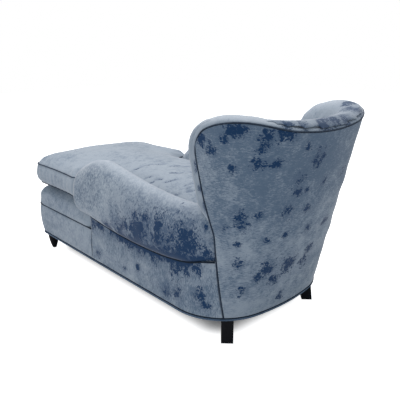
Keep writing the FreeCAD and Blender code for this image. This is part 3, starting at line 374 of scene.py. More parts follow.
# Crushed pile on the arms; the broad spots and those low down are painted shade of the arm's underside and
# rear.
ARM_CRUSH_AND_SHADE_SPOTS = [
    (0.39, 0.24, 0.43, 0.040), (0.38, 0.31, 0.41, 0.044), (0.39, 0.22, 0.38, 0.036),
    (0.38, 0.38, 0.41, 0.036), (0.38, 0.34, 0.36, 0.050), (0.36, 0.46, 0.38, 0.046),
    (0.34, 0.52, 0.47, 0.014), (0.39, 0.17, 0.43, 0.030), (0.36, 0.39, 0.50, 0.014),
    (0.39, 0.10, 0.37, 0.032), (0.385, 0.20, 0.37, 0.085), (0.375, 0.33, 0.37, 0.095),
    (0.36, 0.43, 0.39, 0.095), (0.38, 0.06, 0.34, 0.055), (0.37, -0.05, 0.32, 0.035),
    (0.37, 0.14, 0.315, 0.045), (0.365, 0.25, 0.31, 0.050), (0.36, 0.35, 0.315, 0.050),
    (0.35, 0.44, 0.325, 0.050), (0.33, 0.52, 0.35, 0.045),
]
SIDE_SPOTS = [
    (0.35, -0.17, 0.30, 0.027), (0.35, -0.14, 0.29, 0.027), (0.35, 0.02, 0.30, 0.025),
    (0.35, 0.09, 0.28, 0.037), (0.35, 0.14, 0.27, 0.029), (0.35, 0.24, 0.26, 0.024),
    (0.35, 0.33, 0.31, 0.028), (0.35, 0.41, 0.30, 0.034), (0.35, 0.43, 0.28, 0.026),
    (0.35, -0.18, 0.15, 0.020), (0.35, 0.03, 0.15, 0.015), (0.35, 0.31, 0.16, 0.031),
    (0.35, 0.38, 0.17, 0.027), (0.34, 0.48, 0.20, 0.030), (0.32, 0.50, 0.16, 0.019),
    (0.35, 0.13, 0.19, 0.015), (0.35, -0.20, 0.30, 0.040), (0.35, 0.06, 0.29, 0.040),
    (0.35, 0.37, 0.29, 0.050), (0.35, 0.18, 0.285, 0.034), (0.35, 0.27, 0.295, 0.030),
    (0.35, -0.06, 0.295, 0.026), (0.34, 0.47, 0.31, 0.030),
]
# Bells along the crease under each arm: painted shade of the arm's overhang, with crushed pile.
SIDE_FRINGE = (0.042, 1.60, -0.10, 0.52)
ARM_FRINGE = (0.050, 1.25, -0.04, 0.58)

CREASE_WAY = math.radians(137.8)
CREASE_WIDTH, CREASE_END, CREASE_DEPTH, CREASE_SHADE = 0.0075, 0.010, 0.0035, 0.9


def sat_on(obj, count=30, seed=5):
    """Press short creases into the cushion's top where someone sat, in a fixed random order, and darken them
    with painted shade.

    Each is a bell across a slightly bent line, fading out past its ends.
    """
    draw = np.random.default_rng(seed)
    middle_x, middle_y = draw.uniform(-0.16, 0.21, count), draw.uniform(-0.14, 0.36, count)
    half, turn = draw.uniform(0.007, 0.024, count), draw.uniform(-0.5, 0.5, count)
    bend = draw.uniform(-6, 6, count)
    points = points_of(obj)
    from_x, from_y = points[:, :1] - middle_x, points[:, 1:2] - middle_y
    along_x, along_y = np.cos(CREASE_WAY + turn), np.sin(CREASE_WAY + turn)
    run = from_x * along_x + from_y * along_y
    off = from_y * along_x - from_x * along_y + bend * run ** 2
    past = np.maximum(np.abs(run) - half, 0)
    pressed = np.max(bell(off, CREASE_WIDTH) * bell(past, CREASE_END), axis=1) * (points[:, 2] > CUSHION_HIGH)
    points[:, 2] -= CREASE_DEPTH * pressed
    return painted(set_points(obj, points), "crush_and_shade", CREASE_SHADE * pressed)


def inside_spots(clusters=10, each=6, seed=11):
    """Crushed places in loose clusters over the padding inside the tub, in a fixed random order."""
    draw = np.random.default_rng(seed)
    middle = np.column_stack([draw.uniform(-0.50, 0.50, clusters), draw.uniform(0.48, 0.78, clusters)])
    middle = np.repeat(middle, each, 0)
    along, z = (middle + draw.normal(0, (0.045, 0.030), middle.shape)).T
    place, _ = on_tub(along, np.clip(z, 0.44, 0.82), 0.105)
    return np.column_stack([place, draw.uniform(0.006, 0.030, len(place))]).tolist()


# Outside panels

def outside_back():
    """Columns along the tub's plan, each from base or seam up to the piping, with two slight waves."""
    along = FULL_REACH * np.sin(np.linspace(-np.pi / 2, np.pi / 2, 321))
    low, high = panel_span(along)
    share = np.linspace(0, 1, 150)
    along, low, high = along[:, None], low[:, None], high[:, None]
    z = low + (high - low) * share
    points, normals = on_tub(np.repeat(along, len(share), 1), z)
    slack = 0.0012 * np.sin(np.pi * share) * (np.sin(61 * z + 9 * along) + np.sin(23 * along - 31 * z))
    points += normals * slack[:, :, None]
    return thick(surface("outside_back_cover", points[::-1]))


CREASE = ((FRONT_SEAM, 0.330), ((FRONT_SEAM + SEAM_Y) / 2, 0.304), (SEAM_Y, 0.344))


def crease_at(y):
    """Height of the crease under an arm: the circle through its front, lowest and rear points."""
    (y1, z1), (y2, z2), (y3, z3) = CREASE
    side_a, side_b = (y2 - y1, z2 - z1), (y3 - y1, z3 - z1)
    twice = 2 * (side_a[0] * side_b[1] - side_a[1] * side_b[0])
    square_a, square_b = side_a[0] ** 2 + side_a[1] ** 2, side_b[0] ** 2 + side_b[1] ** 2
    centre_y = (side_b[1] * square_a - side_a[1] * square_b) / twice
    centre_z = (side_a[0] * square_b - side_b[0] * square_a) / twice
    radius = math.hypot(centre_y, centre_z)
    return z1 + centre_z - np.sqrt(radius ** 2 - (y - y1 - centre_y) ** 2)


def side_top(y):
    """Top edge of the side below an arm: behind the arm, and down at the crease where the arm tucks in."""
    return crease_at(y) + 0.012 * (1 - ramp(y, 0.35, 0.20))


def outside_arm(name, sign):
    """The side below an arm: base to crease on the tub's face, from the foot section to the back's seam."""
    share = np.linspace(0, 1, 60)[None, :]
    y = np.linspace(FRONT_SEAM - 0.016, SEAM_Y - 0.002, 206)[:, None]
    z = BASE_HEIGHT + 0.002 + (side_top(y) - BASE_HEIGHT) * share
    pull = 0.004 * share ** 4 + 0.0010 * np.sin(38 * y + 5 * share) * np.sin(np.pi * share)
    tucked_in = 0.008 * ramp(-y, -FRONT_SEAM - 0.004, 0.020)
    x = tub_half_width(y, z) - pull - tucked_in
    grid = np.stack([sign * x, y + 0 * z, z], axis=-1)
    return thick(surface(name, grid[::sign]))


def foot_outline(foot_y):
    """Plan of the foot end, right seam round the corners to the left seam, with outward normals."""
    corner_middle, corner_foot = HALF_WIDTH - FOOT_CORNER, foot_y + FOOT_CORNER
    angle = np.linspace(0, -np.pi / 2, 24)
    turn = np.column_stack([np.cos(angle), np.sin(angle)])
    side = np.linspace(0, 1, 110)[:-1]
    flat = np.linspace(1, -1, 80)[1:-1]
    seam_y = FRONT_SEAM - 0.0005
    right = np.vstack([
        np.column_stack([np.full(len(side), HALF_WIDTH), seam_y + (corner_foot - seam_y) * side]),
        (corner_middle, corner_foot) + FOOT_CORNER * turn,
    ])
    right_normal = np.vstack([np.tile([1.0, 0.0], (len(side), 1)), turn])
    foot = np.column_stack([flat * corner_middle, np.full(len(flat), foot_y)])
    mirror = np.array([-1.0, 1.0])
    points = np.vstack([right, foot, right[::-1] * mirror])
    normals = np.vstack([right_normal, np.tile([0.0, -1.0], (len(flat), 1)), right_normal[::-1] * mirror])
    return points, normals


def foot_border():
    """The lower band round the foot end, drawn in towards its bottom, a little full between its seams."""
    up = np.linspace(0, 1, 44)
    low, high = BASE_HEIGHT + 0.003, BORDER_SEAM - 0.001
    rows = [foot_outline(FOOT_FACE + tuck) for tuck in FOOT_TUCK * (1 - up) ** 2.6]
    full = 0.004 * np.sin(np.pi * up) - 0.0035 * up ** 12 - 0.002 * (1 - up) ** 16
    plan = np.stack([points + normals * out for (points, normals), out in zip(rows, full)], axis=1)
    z = np.broadcast_to(low + (high - low) * up, plan.shape[:2])
    return thick(surface("foot_border_cover", np.dstack([plan, z])[::-1]))


# Arms

ARM_REAR = SEAM_Y + 0.012
NOSE_ROUND, NOTCH_ROUND = 0.062, 0.072


def arm_top(share):
    """Crest height along an arm: a quarter-sine rise to the peak, then a slow fall to the wing."""
    peak, settled = 0.28, 0.86
    nose, most, wing = 0.530, 0.590, 0.528
    rise = np.sin(np.pi / 2 * np.clip(share / peak, 0, 1))
    fall = np.sin(np.pi / 2 * ramp(share, peak, settled - peak))
    return np.where(share < peak, nose + (most - nose) * rise, most - (most - wing) * fall)


def arm_low(y):
    """Lowest line of an arm's outer side: down the nose, then along the crease."""
    nose_y = np.array([*(ARM_NOSE + np.array([0, 0.02, 0.05, 0.085])), FRONT_SEAM + 0.02])
    nose_z = np.array([0.372, 0.356, 0.341, 0.334, 0.328])
    line = np.where(y < nose_y[-1], np.interp(y, nose_y, nose_z), crease_at(np.maximum(y, FRONT_SEAM)))
    return line - 0.017 - 0.006 * ramp(y, 0.2, 0.3)


def arm_section(y):
    """Sizes of an arm's oval along the seat: inner and outer side, crest, lowest, widest and highest line.

    The nose swells as a quarter circle and its inner side fits the round of the cushion's notch; the outer
    side tucks in towards the wing.
    """
    swell = np.sqrt(1 - (1 - ramp(y, ARM_NOSE, NOSE_ROUND)) ** 2)
    drawn = NOSE_ROUND * (1 - swell)
    share = (y - ARM_NOSE) / (SEAM_Y - ARM_NOSE)
    swept = 1 - np.sin(np.pi / 2 * ramp(y, ARM_NOSE, 0.14))
    tucked = ramp(share, 0.60, 0.40)
    lip = ARM_OVERHANG - (ARM_OVERHANG + 0.006) * tucked ** 2.2
    outer = HALF_WIDTH + lip - drawn
    into_notch = np.clip(ARM_NOSE + NOTCH_ROUND - 0.005 - y, 0, NOTCH_ROUND - 0.0005)
    inner = ARM_INNER + NOTCH_ROUND - np.sqrt(NOTCH_ROUND ** 2 - into_notch ** 2)
    sloped = (1 - ramp(y, ARM_NOSE, 0.17)) ** 2
    low, high = arm_low(y) + 0.8 * drawn, arm_top(share) - drawn - 0.048 * sloped
    widest = low + 0.42 * (high - low)
    crest = inner + (0.5 + 0.22 * swept) * (outer - inner)
    return inner, outer, crest, low, widest, high


def arm(name, sign):
    """A padded roll: rings of a soft four-quarter oval along the seat, closed by a low dome at the nose.

    Each quarter is a superellipse between the crest, the sides and the lowest line.
    """
    turn = np.linspace(0, np.pi / 2, 26)
    y = np.concatenate([ARM_NOSE + NOSE_ROUND * (1 - np.cos(turn)),
                        np.linspace(ARM_NOSE + NOSE_ROUND, ARM_REAR, 150)[1:]])[:, None]
    inner, outer, crest, low, widest, high = arm_section(y)
    angle = np.linspace(0, 2 * np.pi, 112, endpoint=False)[None, :]
    cos, sin = np.cos(angle), np.sin(angle)
    soft = np.where(sin > 0, 0.94, 0.80)
    wide = np.sign(cos) * np.abs(cos) ** soft
    tall = np.sign(sin) * np.abs(sin) ** soft
    x = crest + np.where(cos > 0, outer - crest, crest - inner) * wide
    z = widest + np.where(sin > 0, high - widest, widest - low) * tall
    z = np.where((x < HALF_WIDTH - 0.001) & (y < FRONT_SEAM), np.maximum(z, DECK_HEIGHT + 0.002), z)
    pucker = 0.0016 * np.sin(46 * y + 7 * z) * np.sin(17 * y) * np.clip(cos, 0, 1)
    x = x - (HALF_WIDTH - tub_half_width(y, z)) + pucker
    rings = np.stack([sign * x, y + 0 * x, z], axis=-1)
    front, rear = rings[:1].mean(axis=1, keepdims=True), rings[-1:].mean(axis=1, keepdims=True)
    out = np.array([0.0, 0.25, 0.5, 0.72, 0.88])[:, None]
    dome = front + (rings[:1] - front) * out[..., None]
    dome[..., 1] -= 0.007 * (1 - out ** 2)
    grid = np.concatenate([dome, rings, np.repeat(rear, rings.shape[1], 1)])
    return outward(surface(name, grid, round_v=True, weld=CORD_WELD))


# Stuffed pieces, blown up a little by cloth simulation

SWELL_STEPS = 20


def stuffed(name, node, voxel, smooth, grow, pressure, cap, held):
    """A copy of a soft solid, remeshed evenly, smoothed, grown and swollen by pressure.

    held gives the points that stay pinned, and cap is the furthest that any other may move.
    """
    mesh = frame["nodes"][node].data.copy()
    reworked(mesh, lambda work: bmesh.ops.remove_doubles(work, verts=work.verts, dist=CORD_WELD))
    rough = bpy.data.objects.new(name + "_rough", mesh)
    SCENE.collection.objects.link(rough)
    remesh = rough.modifiers.new("even", "REMESH")
    remesh.mode = "VOXEL"
    remesh.voxel_size = voxel
    ease = rough.modifiers.new("ease", "SMOOTH")
    ease.factor = 0.5
    ease.iterations = smooth
    fuller = rough.modifiers.new("fuller", "DISPLACE")
    fuller.strength = grow
    fuller.mid_level = 0
    graph = bpy.context.evaluated_depsgraph_get()
    mesh = bpy.data.meshes.new_from_object(rough.evaluated_get(graph))
    mesh.name = name
    bpy.data.objects.remove(rough)
    mesh.materials.clear()
    obj = finished(name, mesh)
    rest = points_of(obj)
    group = obj.vertex_groups.new(name="held")
    group.add(np.nonzero(held(rest))[0].tolist(), 1.0, "REPLACE")
    cloth = obj.modifiers.new("swell", "CLOTH")
    settings = cloth.settings
    settings.quality = 5
    settings.mass = 0.3
    settings.tension_stiffness = settings.compression_stiffness = 12
    settings.bending_stiffness = 0.4
    settings.use_pressure = True
    settings.uniform_pressure_force = pressure
    settings.effector_weights.gravity = 0
    settings.vertex_group_mass = "held"
    for step in range(1, SWELL_STEPS + 1):
        SCENE.frame_set(step)
    graph = bpy.context.evaluated_depsgraph_get()
    move = read(obj.evaluated_get(graph).to_mesh().vertices, "co") - rest
    obj.evaluated_get(graph).to_mesh_clear()
    obj.modifiers.remove(cloth)
    obj.vertex_groups.clear()
    SCENE.frame_set(1)
    length = np.linalg.norm(move, axis=1, keepdims=True)
    set_points(obj, rest + move * np.minimum(1, cap / np.maximum(length, 1e-9)))
    finer = obj.modifiers.new("finer", "SUBSURF")
    finer.levels = finer.render_levels = 1
    return obj


def rounded_plan(corners):
    """A closed plan from corners (x, y, radius): each corner becomes an arc that touches both its edges."""
    points = np.array([(x, y) for x, y, _ in corners])
    radii = np.array([radius for _, _, radius in corners])[:, None]
    before, after = unit(np.roll(points, 1, axis=0) - points), unit(np.roll(points, -1, axis=0) - points)
    half_open = np.arccos(np.clip(np.sum(before * after, axis=1, keepdims=True), -1, 1)) / 2
    centre = points + unit(before + after) * radii / np.sin(half_open)
    start = points + before * radii / np.tan(half_open) - centre
    end = points + after * radii / np.tan(half_open) - centre
    sweep = np.arctan2(start[:, 0] * end[:, 1] - start[:, 1] * end[:, 0], np.sum(start * end, axis=1))
    angle = sweep[:, None] * np.linspace(0, 1, 12)[None, :]
    x = centre[:, :1] + start[:, :1] * np.cos(angle) - start[:, 1:] * np.sin(angle)
    y = centre[:, 1:] + start[:, :1] * np.sin(angle) + start[:, 1:] * np.cos(angle)
    return even_plan(np.stack([x, y], axis=-1).reshape(-1, 2))


def even_plan(outline):
    """The same closed plan with its points spaced evenly."""
    closed = np.vstack([outline, outline[:1]])
    run = np.concatenate([[0], np.cumsum(np.linalg.norm(np.diff(closed, axis=0), axis=1))])
    place = np.linspace(0, run[-1], int(run[-1] / PLAN_STEP), endpoint=False)
    return np.column_stack([np.interp(place, run, closed[:, 0]), np.interp(place, run, closed[:, 1])])


def plan_normals(outline):
    """Outward normals of a counter-clockwise closed plan."""
    along = unit(np.roll(outline, -1, axis=0) - np.roll(outline, 1, axis=0))
    return np.column_stack([along[:, 1], -along[:, 0]])


def nearest(points, plan):
    """Each point's distance, seen from above, to the nearest of a plan's points, and which one that is."""
    away = np.hypot(points[:, None, 0] - plan[None, :, 0], points[:, None, 1] - plan[None, :, 1])
    return away.min(axis=1), away.argmin(axis=1)


def level(outline, z):
    """A plan laid at one height."""
    return np.column_stack([outline, np.full(len(outline), z)])


CUSHION_FOOT, CUSHION_SHOULDER = FOOT_FACE - 0.006, ARM_NOSE - 0.005
CUSHION_NECK, CUSHION_REAR = ARM_INNER - 0.005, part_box("cushion_cover")[1].y
CUSHION_RIGHT = [
    (HALF_WIDTH, CUSHION_FOOT, 0.048), (HALF_WIDTH - 0.006, (CUSHION_FOOT + CUSHION_SHOULDER) / 2, 1.0),
    (HALF_WIDTH, CUSHION_SHOULDER, 0.030), (CUSHION_NECK, CUSHION_SHOULDER, NOTCH_ROUND),
    (CUSHION_NECK, CUSHION_REAR, 0.135),
]
cushion_plan = rounded_plan(
    CUSHION_RIGHT + [(-x, y, r) for x, y, r in reversed(CUSHION_RIGHT)] + [(0, CUSHION_FOOT + 0.006, 4.0)])
cushion_out = plan_normals(cushion_plan)
COARSE = 6


def full_shoulders(plan, most=0.007):
    """Plan points pushed out and back at the cushion's two shoulders, as a bell round each."""
    from_corner = np.hypot(np.abs(plan[:, 0]) - 0.335, plan[:, 1] - CUSHION_SHOULDER + 0.02)
    push = most * bell(from_corner, 0.045)
    return plan + np.column_stack([push * np.sign(plan[:, 0]), 0.8 * push])


def fuller_edge(obj):
    """Shape the cushion's edge: half a sine of crown inside its piping, full shoulders, a tucked border.

    One far foot corner is pressed down a little, and the top settles by a tenth behind the foot end.
    """
    points = points_of(obj)
    x, y, z = points.T
    inside, mark = nearest(points, cushion_plan[::COARSE])
    near_foot = ramp(-y, 0.60, 0.12)
    shoulder = ramp(y, -0.50, 0.12) * ramp(-y, 0.26, 0.06)
    ridge = 0.0125 * bell(x - 0.04, 0.13) * near_foot * np.sin(np.pi * np.clip(inside / 0.16, 0, 1))
    ridge += 0.005 * shoulder * np.sin(np.pi * np.clip(inside / 0.11, 0, 1))
    ridge -= 0.008 * bell(np.hypot(x + 0.27, y + 0.70), 0.07)
    ridge += 0.013 * bell(np.hypot(np.abs(x) - 0.337, y + 0.362), 0.040)
    settled = 0.10 * ramp(y, -0.70, 0.15) * np.maximum(z - CUSHION_HIGH, 0)
    z = z + ramp(z, CUSHION_HIGH + 0.004, 0.02) * ridge - settled
    share = np.clip((z - CUSHION_LOW) / (CUSHION_HIGH - CUSHION_LOW), -0.2, 1)
    border = bell(inside, 0.025) * (z < CUSHION_HIGH + 0.006)
    full = 0.006 * np.sin(np.pi * np.clip(share, 0, 1)) - 0.015 * np.clip(1 - share / 0.3, 0, 1.3) ** 2
    plan = full_shoulders(points[:, :2] + cushion_out[::COARSE][mark] * (border * full)[:, None])
    return set_points(obj, np.column_stack([plan, z]))


def eased_deck(obj):
    """Round the deck's top edge off at the foot section, falling over its last 60 mm, and draw it in."""
    points = points_of(obj)
    inside, _ = nearest(points, foot_outline(FOOT_FACE)[0][::4])
    near = np.clip(1 - inside / 0.060, 0, 1) ** 1.2 * ramp(-points[:, 1], -FRONT_SEAM, 0.03)
    high = ramp(points[:, 2], BORDER_SEAM + 0.02, DECK_HEIGHT - BORDER_SEAM - 0.02)
    points[:, 2] -= 0.022 * near * high
    points[:, 0] -= 0.006 * near * high ** 2 * np.sign(points[:, 0])
    return set_points(obj, points)


def cushion_held(points):
    """The cushion's two seams and its underside stay where they are."""
    seam = np.minimum(np.abs(points[:, 2] - CUSHION_LOW), np.abs(points[:, 2] - CUSHION_HIGH))
    edge = nearest(points, cushion_plan[::COARSE])[0] < 0.020
    return ((seam < 0.006) & edge) | (points[:, 2] < DECK_HEIGHT + 0.012)


def deck_held(points):
    """The deck stays where it meets the border's seam, and behind the foot section."""
    return (points[:, 2] < BORDER_SEAM + 0.010) | (points[:, 1] > FRONT_SEAM)


def inside_held(points):
    """The padding stays where it meets the piping, the frame and the seat."""
    lean_y = points[:, 1] - LEAN * (points[:, 2] - BASE_HEIGHT)
    wide = tub_half_width(points[:, 1], points[:, 2])
    near_side = (np.abs(points[:, 0]) > wide - 0.040) & (lean_y < side_end + 0.10)
    near_rear = np.hypot(points[:, 0], lean_y - bow_y) > BACK_BOW - 0.040
    return near_side | near_rear | (points[:, 2] < 0.40)


# Materials

class Socket:
    """A shader value; arithmetic on it adds Math nodes."""

    def __init__(self, tree, socket):
        self.tree, self.socket = tree, socket

    def math(self, operation, *values):
        """A Math node in the same tree."""
        return self.tree.node("ShaderNodeMath", {"operation": operation}, *values)

    def __add__(self, other):
        return self.math("ADD", self, other)

    def __sub__(self, other):
        return self.math("SUBTRACT", self, other)

    def __rsub__(self, other):
        return self.math("SUBTRACT", other, self)

    def __mul__(self, other):
        return self.math("MULTIPLY", self, other)

    __radd__, __rmul__ = __add__, __mul__

    def step(self, low, high):
        """0 below low, 1 above high, smooth between."""
        return self.tree.node("ShaderNodeMapRange", {"interpolation_type": "SMOOTHSTEP"},
                              self, low, high, 0.0, 1.0)


class Finish:
    """The node tree of a material, or of a world, with one method for every node."""

    def __init__(self, name, kind="materials", shader="Principled BSDF"):
        self.owner = getattr(bpy.data, kind).new(name)
        self.owner.use_nodes = True
        self.nodes, self.links = self.owner.node_tree.nodes, self.owner.node_tree.links
        self.shader = self.nodes[shader]

    def node(self, kind, settings, *values, output=0, slots=None, **named):
        """Add a node, set it up, then give its sockets values or links, by order, slot number or name."""
        node = self.nodes.new(kind)
        for key, value in settings.items():
            setattr(node, key, value)
        for slot, value in (*enumerate(values), *(slots or {}).items()):
            self.put(node.inputs[slot], value)
        for name, value in named.items():
            self.put(node.inputs[name.replace("_", " ")], value)
        return Socket(self, node.outputs[output])

    def put(self, socket, value):
        """Link a socket to a value, or set it to a number or a colour."""
        if isinstance(value, Socket):
            self.links.new(value.socket, socket)
        else:
            socket.default_value = value

    def coords(self, scale=(1, 1, 1)):
        """Object coordinates, stretched by a scale."""
        where = self.node("ShaderNodeTexCoord", {}, output=3)
        return self.node("ShaderNodeMapping", {}, where, Scale=scale)

    def noise(self, where, scale, detail=4.0, roughness=0.55, distortion=0.0):
        return self.node("ShaderNodeTexNoise", {}, Vector=where, Scale=scale, Detail=detail,
                         Roughness=roughness, Distortion=distortion)

    def mix(self, share, first, second):
        """Mix two colours; the node's colours sit at its sockets 6 and 7 and come out at 2."""
        slots = {0: share, 6: first, 7: second}
        return self.node("ShaderNodeMix", {"data_type": "RGBA"}, slots=slots, output=2)

    def bump(self, height, strength, distance):
        return self.node("ShaderNodeBump", {}, Strength=strength, Distance=distance, Height=height)

    def paint(self, **sockets):
        """Set or link the shader's own sockets."""
        for name, value in sockets.items():
            self.put(self.shader.inputs[name.replace("_", " ")], value)
        return self.owner

    def surface(self, shader):
        """Put a shader on the tree's output."""
        output = self.nodes.get("Material Output") or self.nodes["World Output"]
        self.put(output.inputs["Surface"], shader)


PILE_PALE = (0.270, 0.325, 0.388, 1)
# Pale pile for the nap strokes, and for the painted highlight on crests.
PILE_STROKE_AND_HIGHLIGHT = (0.375, 0.435, 0.500, 1)
PILE_DEEP = (0.098, 0.146, 0.212, 1)
PILE_LYING_AND_SHADE = (0.060, 0.098, 0.168, 1)
NAVY = (0.008, 0.035, 0.094, 1)
HALO, CORE = (0.87, 0.97), (0.918, 0.960)


def velvet(name, nap, patchy=1.0, streak=0.5, tone=0.0, stray=0.0, soft=0.16, wash=0.4, strokes=0.3,
           height_shade=0.0):
    """Crushed velvet: nap streaks along one way, cloudy tone, pale strokes, navy where the pile lies over.

    Noise of several sizes is added to the piece's crush, which also carries painted shade, and patches show
    where the sum passes a level: a soft halo, then a navy core. A painted shade by height makes the cloth
    paler low down and deeper high up.
    """
    finish = Finish(name)
    where = finish.coords()
    combed = finish.coords(nap)
    lightly_combed = finish.coords(tuple(math.sqrt(k) for k in nap))
    height = finish.node("ShaderNodeSeparateXYZ", {}, where, output=2)
    cloud = finish.noise(where, 5.0, 3.0)
    mottle = finish.noise(where, 30.0, 6.0, 0.66)
    fibres = finish.noise(combed, 80.0, 6.0, 0.74)
    hairs = finish.noise(combed, 420.0, 2.0, 0.6)
    rag = finish.noise(where, 58.0, 8.0, 0.74, 0.3)
    fleck = finish.noise(lightly_combed, 125.0, 6.0, 0.78, 0.2)
    brush = finish.noise(combed, 52.0, 7.0, 0.74, 0.4)
    drift = finish.noise(combed, 9.0, 4.0, 0.6)
    crush_and_shade = finish.node("ShaderNodeAttribute", {"attribute_name": "crush_and_shade"}, output=2)
    lying = (crush_and_shade * (0.32 + stray) + rag * 0.65 + fleck * 0.75 + (mottle - 0.5) * 0.60 + (drift - 0.5) * 0.40
             - stray)
    halo = lying.step(*HALO) * (0.34 * patchy)
    core = lying.step(*CORE) * (0.97 * patchy)
    # Painted shade by height joins the tone here: paler low down, deeper high up.
    light = (cloud * 0.40 + mottle * 0.45 + hairs * 0.15 + (fibres - 0.5) * streak + tone
             + (0.5 - height) * height_shade).step(0.50 - soft, 0.50 + soft)
    ground = finish.mix(light, PILE_DEEP, PILE_PALE)
    crest = finish.node("ShaderNodeAttribute", {"attribute_name": "painted_highlight"}, output=2)
    ground = finish.mix((brush * 0.75 + drift * 0.25).step(0.53, 0.63) * strokes, ground, PILE_STROKE_AND_HIGHLIGHT)
    # Painted highlight: the cloth turns pale where it faces up, along the crests of the arms and the back's
    # roll.
    ground = finish.mix(crest * 0.62, ground, PILE_STROKE_AND_HIGHLIGHT)
    # Painted shade: the cloth darkens smoothly towards lying pile with the crush, broken up by noise, most on
    # the arms where wash is high.
    breakup = (mottle * 0.6 + fibres * 0.4).step(0.66, 0.36)
    ground = finish.mix(crush_and_shade * (0.35 + breakup * 0.65) * wash, ground, PILE_LYING_AND_SHADE)
    ground = finish.mix(halo, ground, PILE_LYING_AND_SHADE)
    colour = finish.mix(core, ground, NAVY)
    relief = hairs * 0.35 + fibres * 0.5 - core * 0.6 + mottle * 0.3
    return finish.paint(
        Base_Color=colour, Roughness=0.92 - light * 0.12, Normal=finish.bump(relief, 0.35, 0.0012),
        Specular_IOR_Level=0.10, Sheen_Weight=0.36, Sheen_Roughness=0.36, Sheen_Tint=(1.0, 0.98, 0.96, 1),
    )


def piping_cloth(name, deep, pale):
    """The same velvet round a cord: fine noise for its pile, and a slower one that wears it pale."""
    finish = Finish(name)
    where = finish.coords()
    twist = finish.noise(where, 160.0, 3.0)
    breakup = finish.noise(where, 14.0, 4.0)
    colour = finish.mix((breakup * 0.6 + twist * 0.5).step(0.3, 0.85), deep, pale)
    return finish.paint(Base_Color=colour, Roughness=0.85, Normal=finish.bump(twist, 0.4, 0.0008),
                        Specular_IOR_Level=0.08, Sheen_Weight=0.12, Sheen_Roughness=0.4)


def timber(name, pale, deep, along, rough, gloss=0.4):
    """Grain: noise drawn out along one axis, with finer pores."""
    finish = Finish(name)
    grain = finish.noise(finish.coords(along), 9.0, 6.0, 0.6, 0.6)
    pores = finish.noise(finish.coords(tuple(3 * k for k in along)), 40.0, 3.0, 0.7)
    colour = finish.mix((grain * 0.8 + pores * 0.3).step(0.3, 0.8), deep, pale)
    return finish.paint(Base_Color=colour, Roughness=rough + (pores - 0.5) * 0.2, Specular_IOR_Level=gloss,
                        Normal=finish.bump(pores + grain * 0.5, 0.15, 0.0008))


def seam_shadow_finish():
    """Painted shade for the groove beside piping: a near-black pile colour."""
    finish = Finish("seam_shadow")
    fuzz = finish.noise(finish.coords(), 200.0, 3.0)
    colour = finish.mix(fuzz, (0.006, 0.011, 0.020, 1), (0.020, 0.031, 0.048, 1))
    return finish.paint(Base_Color=colour, Roughness=0.95, Specular_IOR_Level=0.05,
                        Normal=finish.bump(fuzz, 0.3, 0.0005))


def plain_steel():
    """Drawn wire: noise stretched along one axis."""
    finish = Finish("plain_steel")
    drawn = finish.noise(finish.coords((1, 30, 30)), 60.0, 3.0)
    colour = finish.mix(drawn, (0.30, 0.31, 0.32, 1), (0.45, 0.46, 0.47, 1))
    return finish.paint(Base_Color=colour, Metallic=1.0, Roughness=0.32 + drawn * 0.15)


def woven(name, pale, deep, pitch, rough=0.9):
    """Plain weave: two crossing sets of waves, one over the other."""
    finish = Finish(name)
    where = finish.coords()
    warp = finish.node("ShaderNodeTexWave", {"bands_direction": "X"}, where, Scale=pitch, Distortion=0.6)
    weft = finish.node("ShaderNodeTexWave", {"bands_direction": "Y"}, where, Scale=pitch, Distortion=0.6)
    slub = finish.noise(where, 50.0, 4.0)
    thread = warp * weft
    colour = finish.mix((thread + slub * 0.5).step(0.1, 0.9), deep, pale)
    return finish.paint(Base_Color=colour, Roughness=rough, Normal=finish.bump(thread, 0.5, 0.0006))


def foam():
    """Cut foam: fine cells, and a slow yellowing."""
    finish = Finish("foam")
    where = finish.coords()
    cells = finish.node("ShaderNodeTexVoronoi", {}, where, Scale=500.0)
    colour = finish.mix(finish.noise(where, 8.0, 3.0), (0.80, 0.74, 0.55, 1), (0.72, 0.64, 0.42, 1))
    return finish.paint(Base_Color=colour, Roughness=0.95, Normal=finish.bump(cells, 0.4, 0.0006))


def moulded(name, colour, breakup, rough):
    """Moulded plastic with a faint haze."""
    finish = Finish(name)
    haze = finish.noise(finish.coords(), 60.0, 4.0)
    colour = finish.mix(haze.step(0.4, 0.8), colour, breakup)
    return finish.paint(Base_Color=colour, Roughness=rough + haze * 0.15,
                        Normal=finish.bump(haze, 0.1, 0.0004))


# Each copy's tone lifts or lowers its lightness as painted light and shade: lowered on the outside back,
# lifted on the arms, rolls, cushion and calm pieces.
BACK_VELVET = velvet("velvet_back", (1.0, 1.0, 4.0), streak=0.8, tone=-0.03, soft=0.14, wash=0.45,
                     strokes=0.15, height_shade=0.24)
SIDE_VELVET = velvet("velvet_side", (4.0, 4.0, 1.0), streak=0.9, soft=0.13, wash=0.6, strokes=0.4)
ARM_VELVET = velvet("velvet_arm", (1.6, 1.6, 1.2), streak=1.0, tone=0.03, stray=0.05, soft=0.12, wash=0.95,
                    strokes=0.7)
CALM_VELVET = velvet("velvet_calm", (3.0, 3.0, 0.9), patchy=0.5, streak=0.8, tone=0.06, stray=0.02)
CUSHION_VELVET = velvet("velvet_cushion", (2.5, 1.0, 1.0), patchy=0.85, tone=0.10, stray=0.05, wash=0.5,
                        strokes=0.2)
ROLL_VELVET = velvet("velvet_roll", (1.4, 4.0, 1.4), patchy=0.8, streak=0.9, tone=0.14, wash=0.8, strokes=0.4)
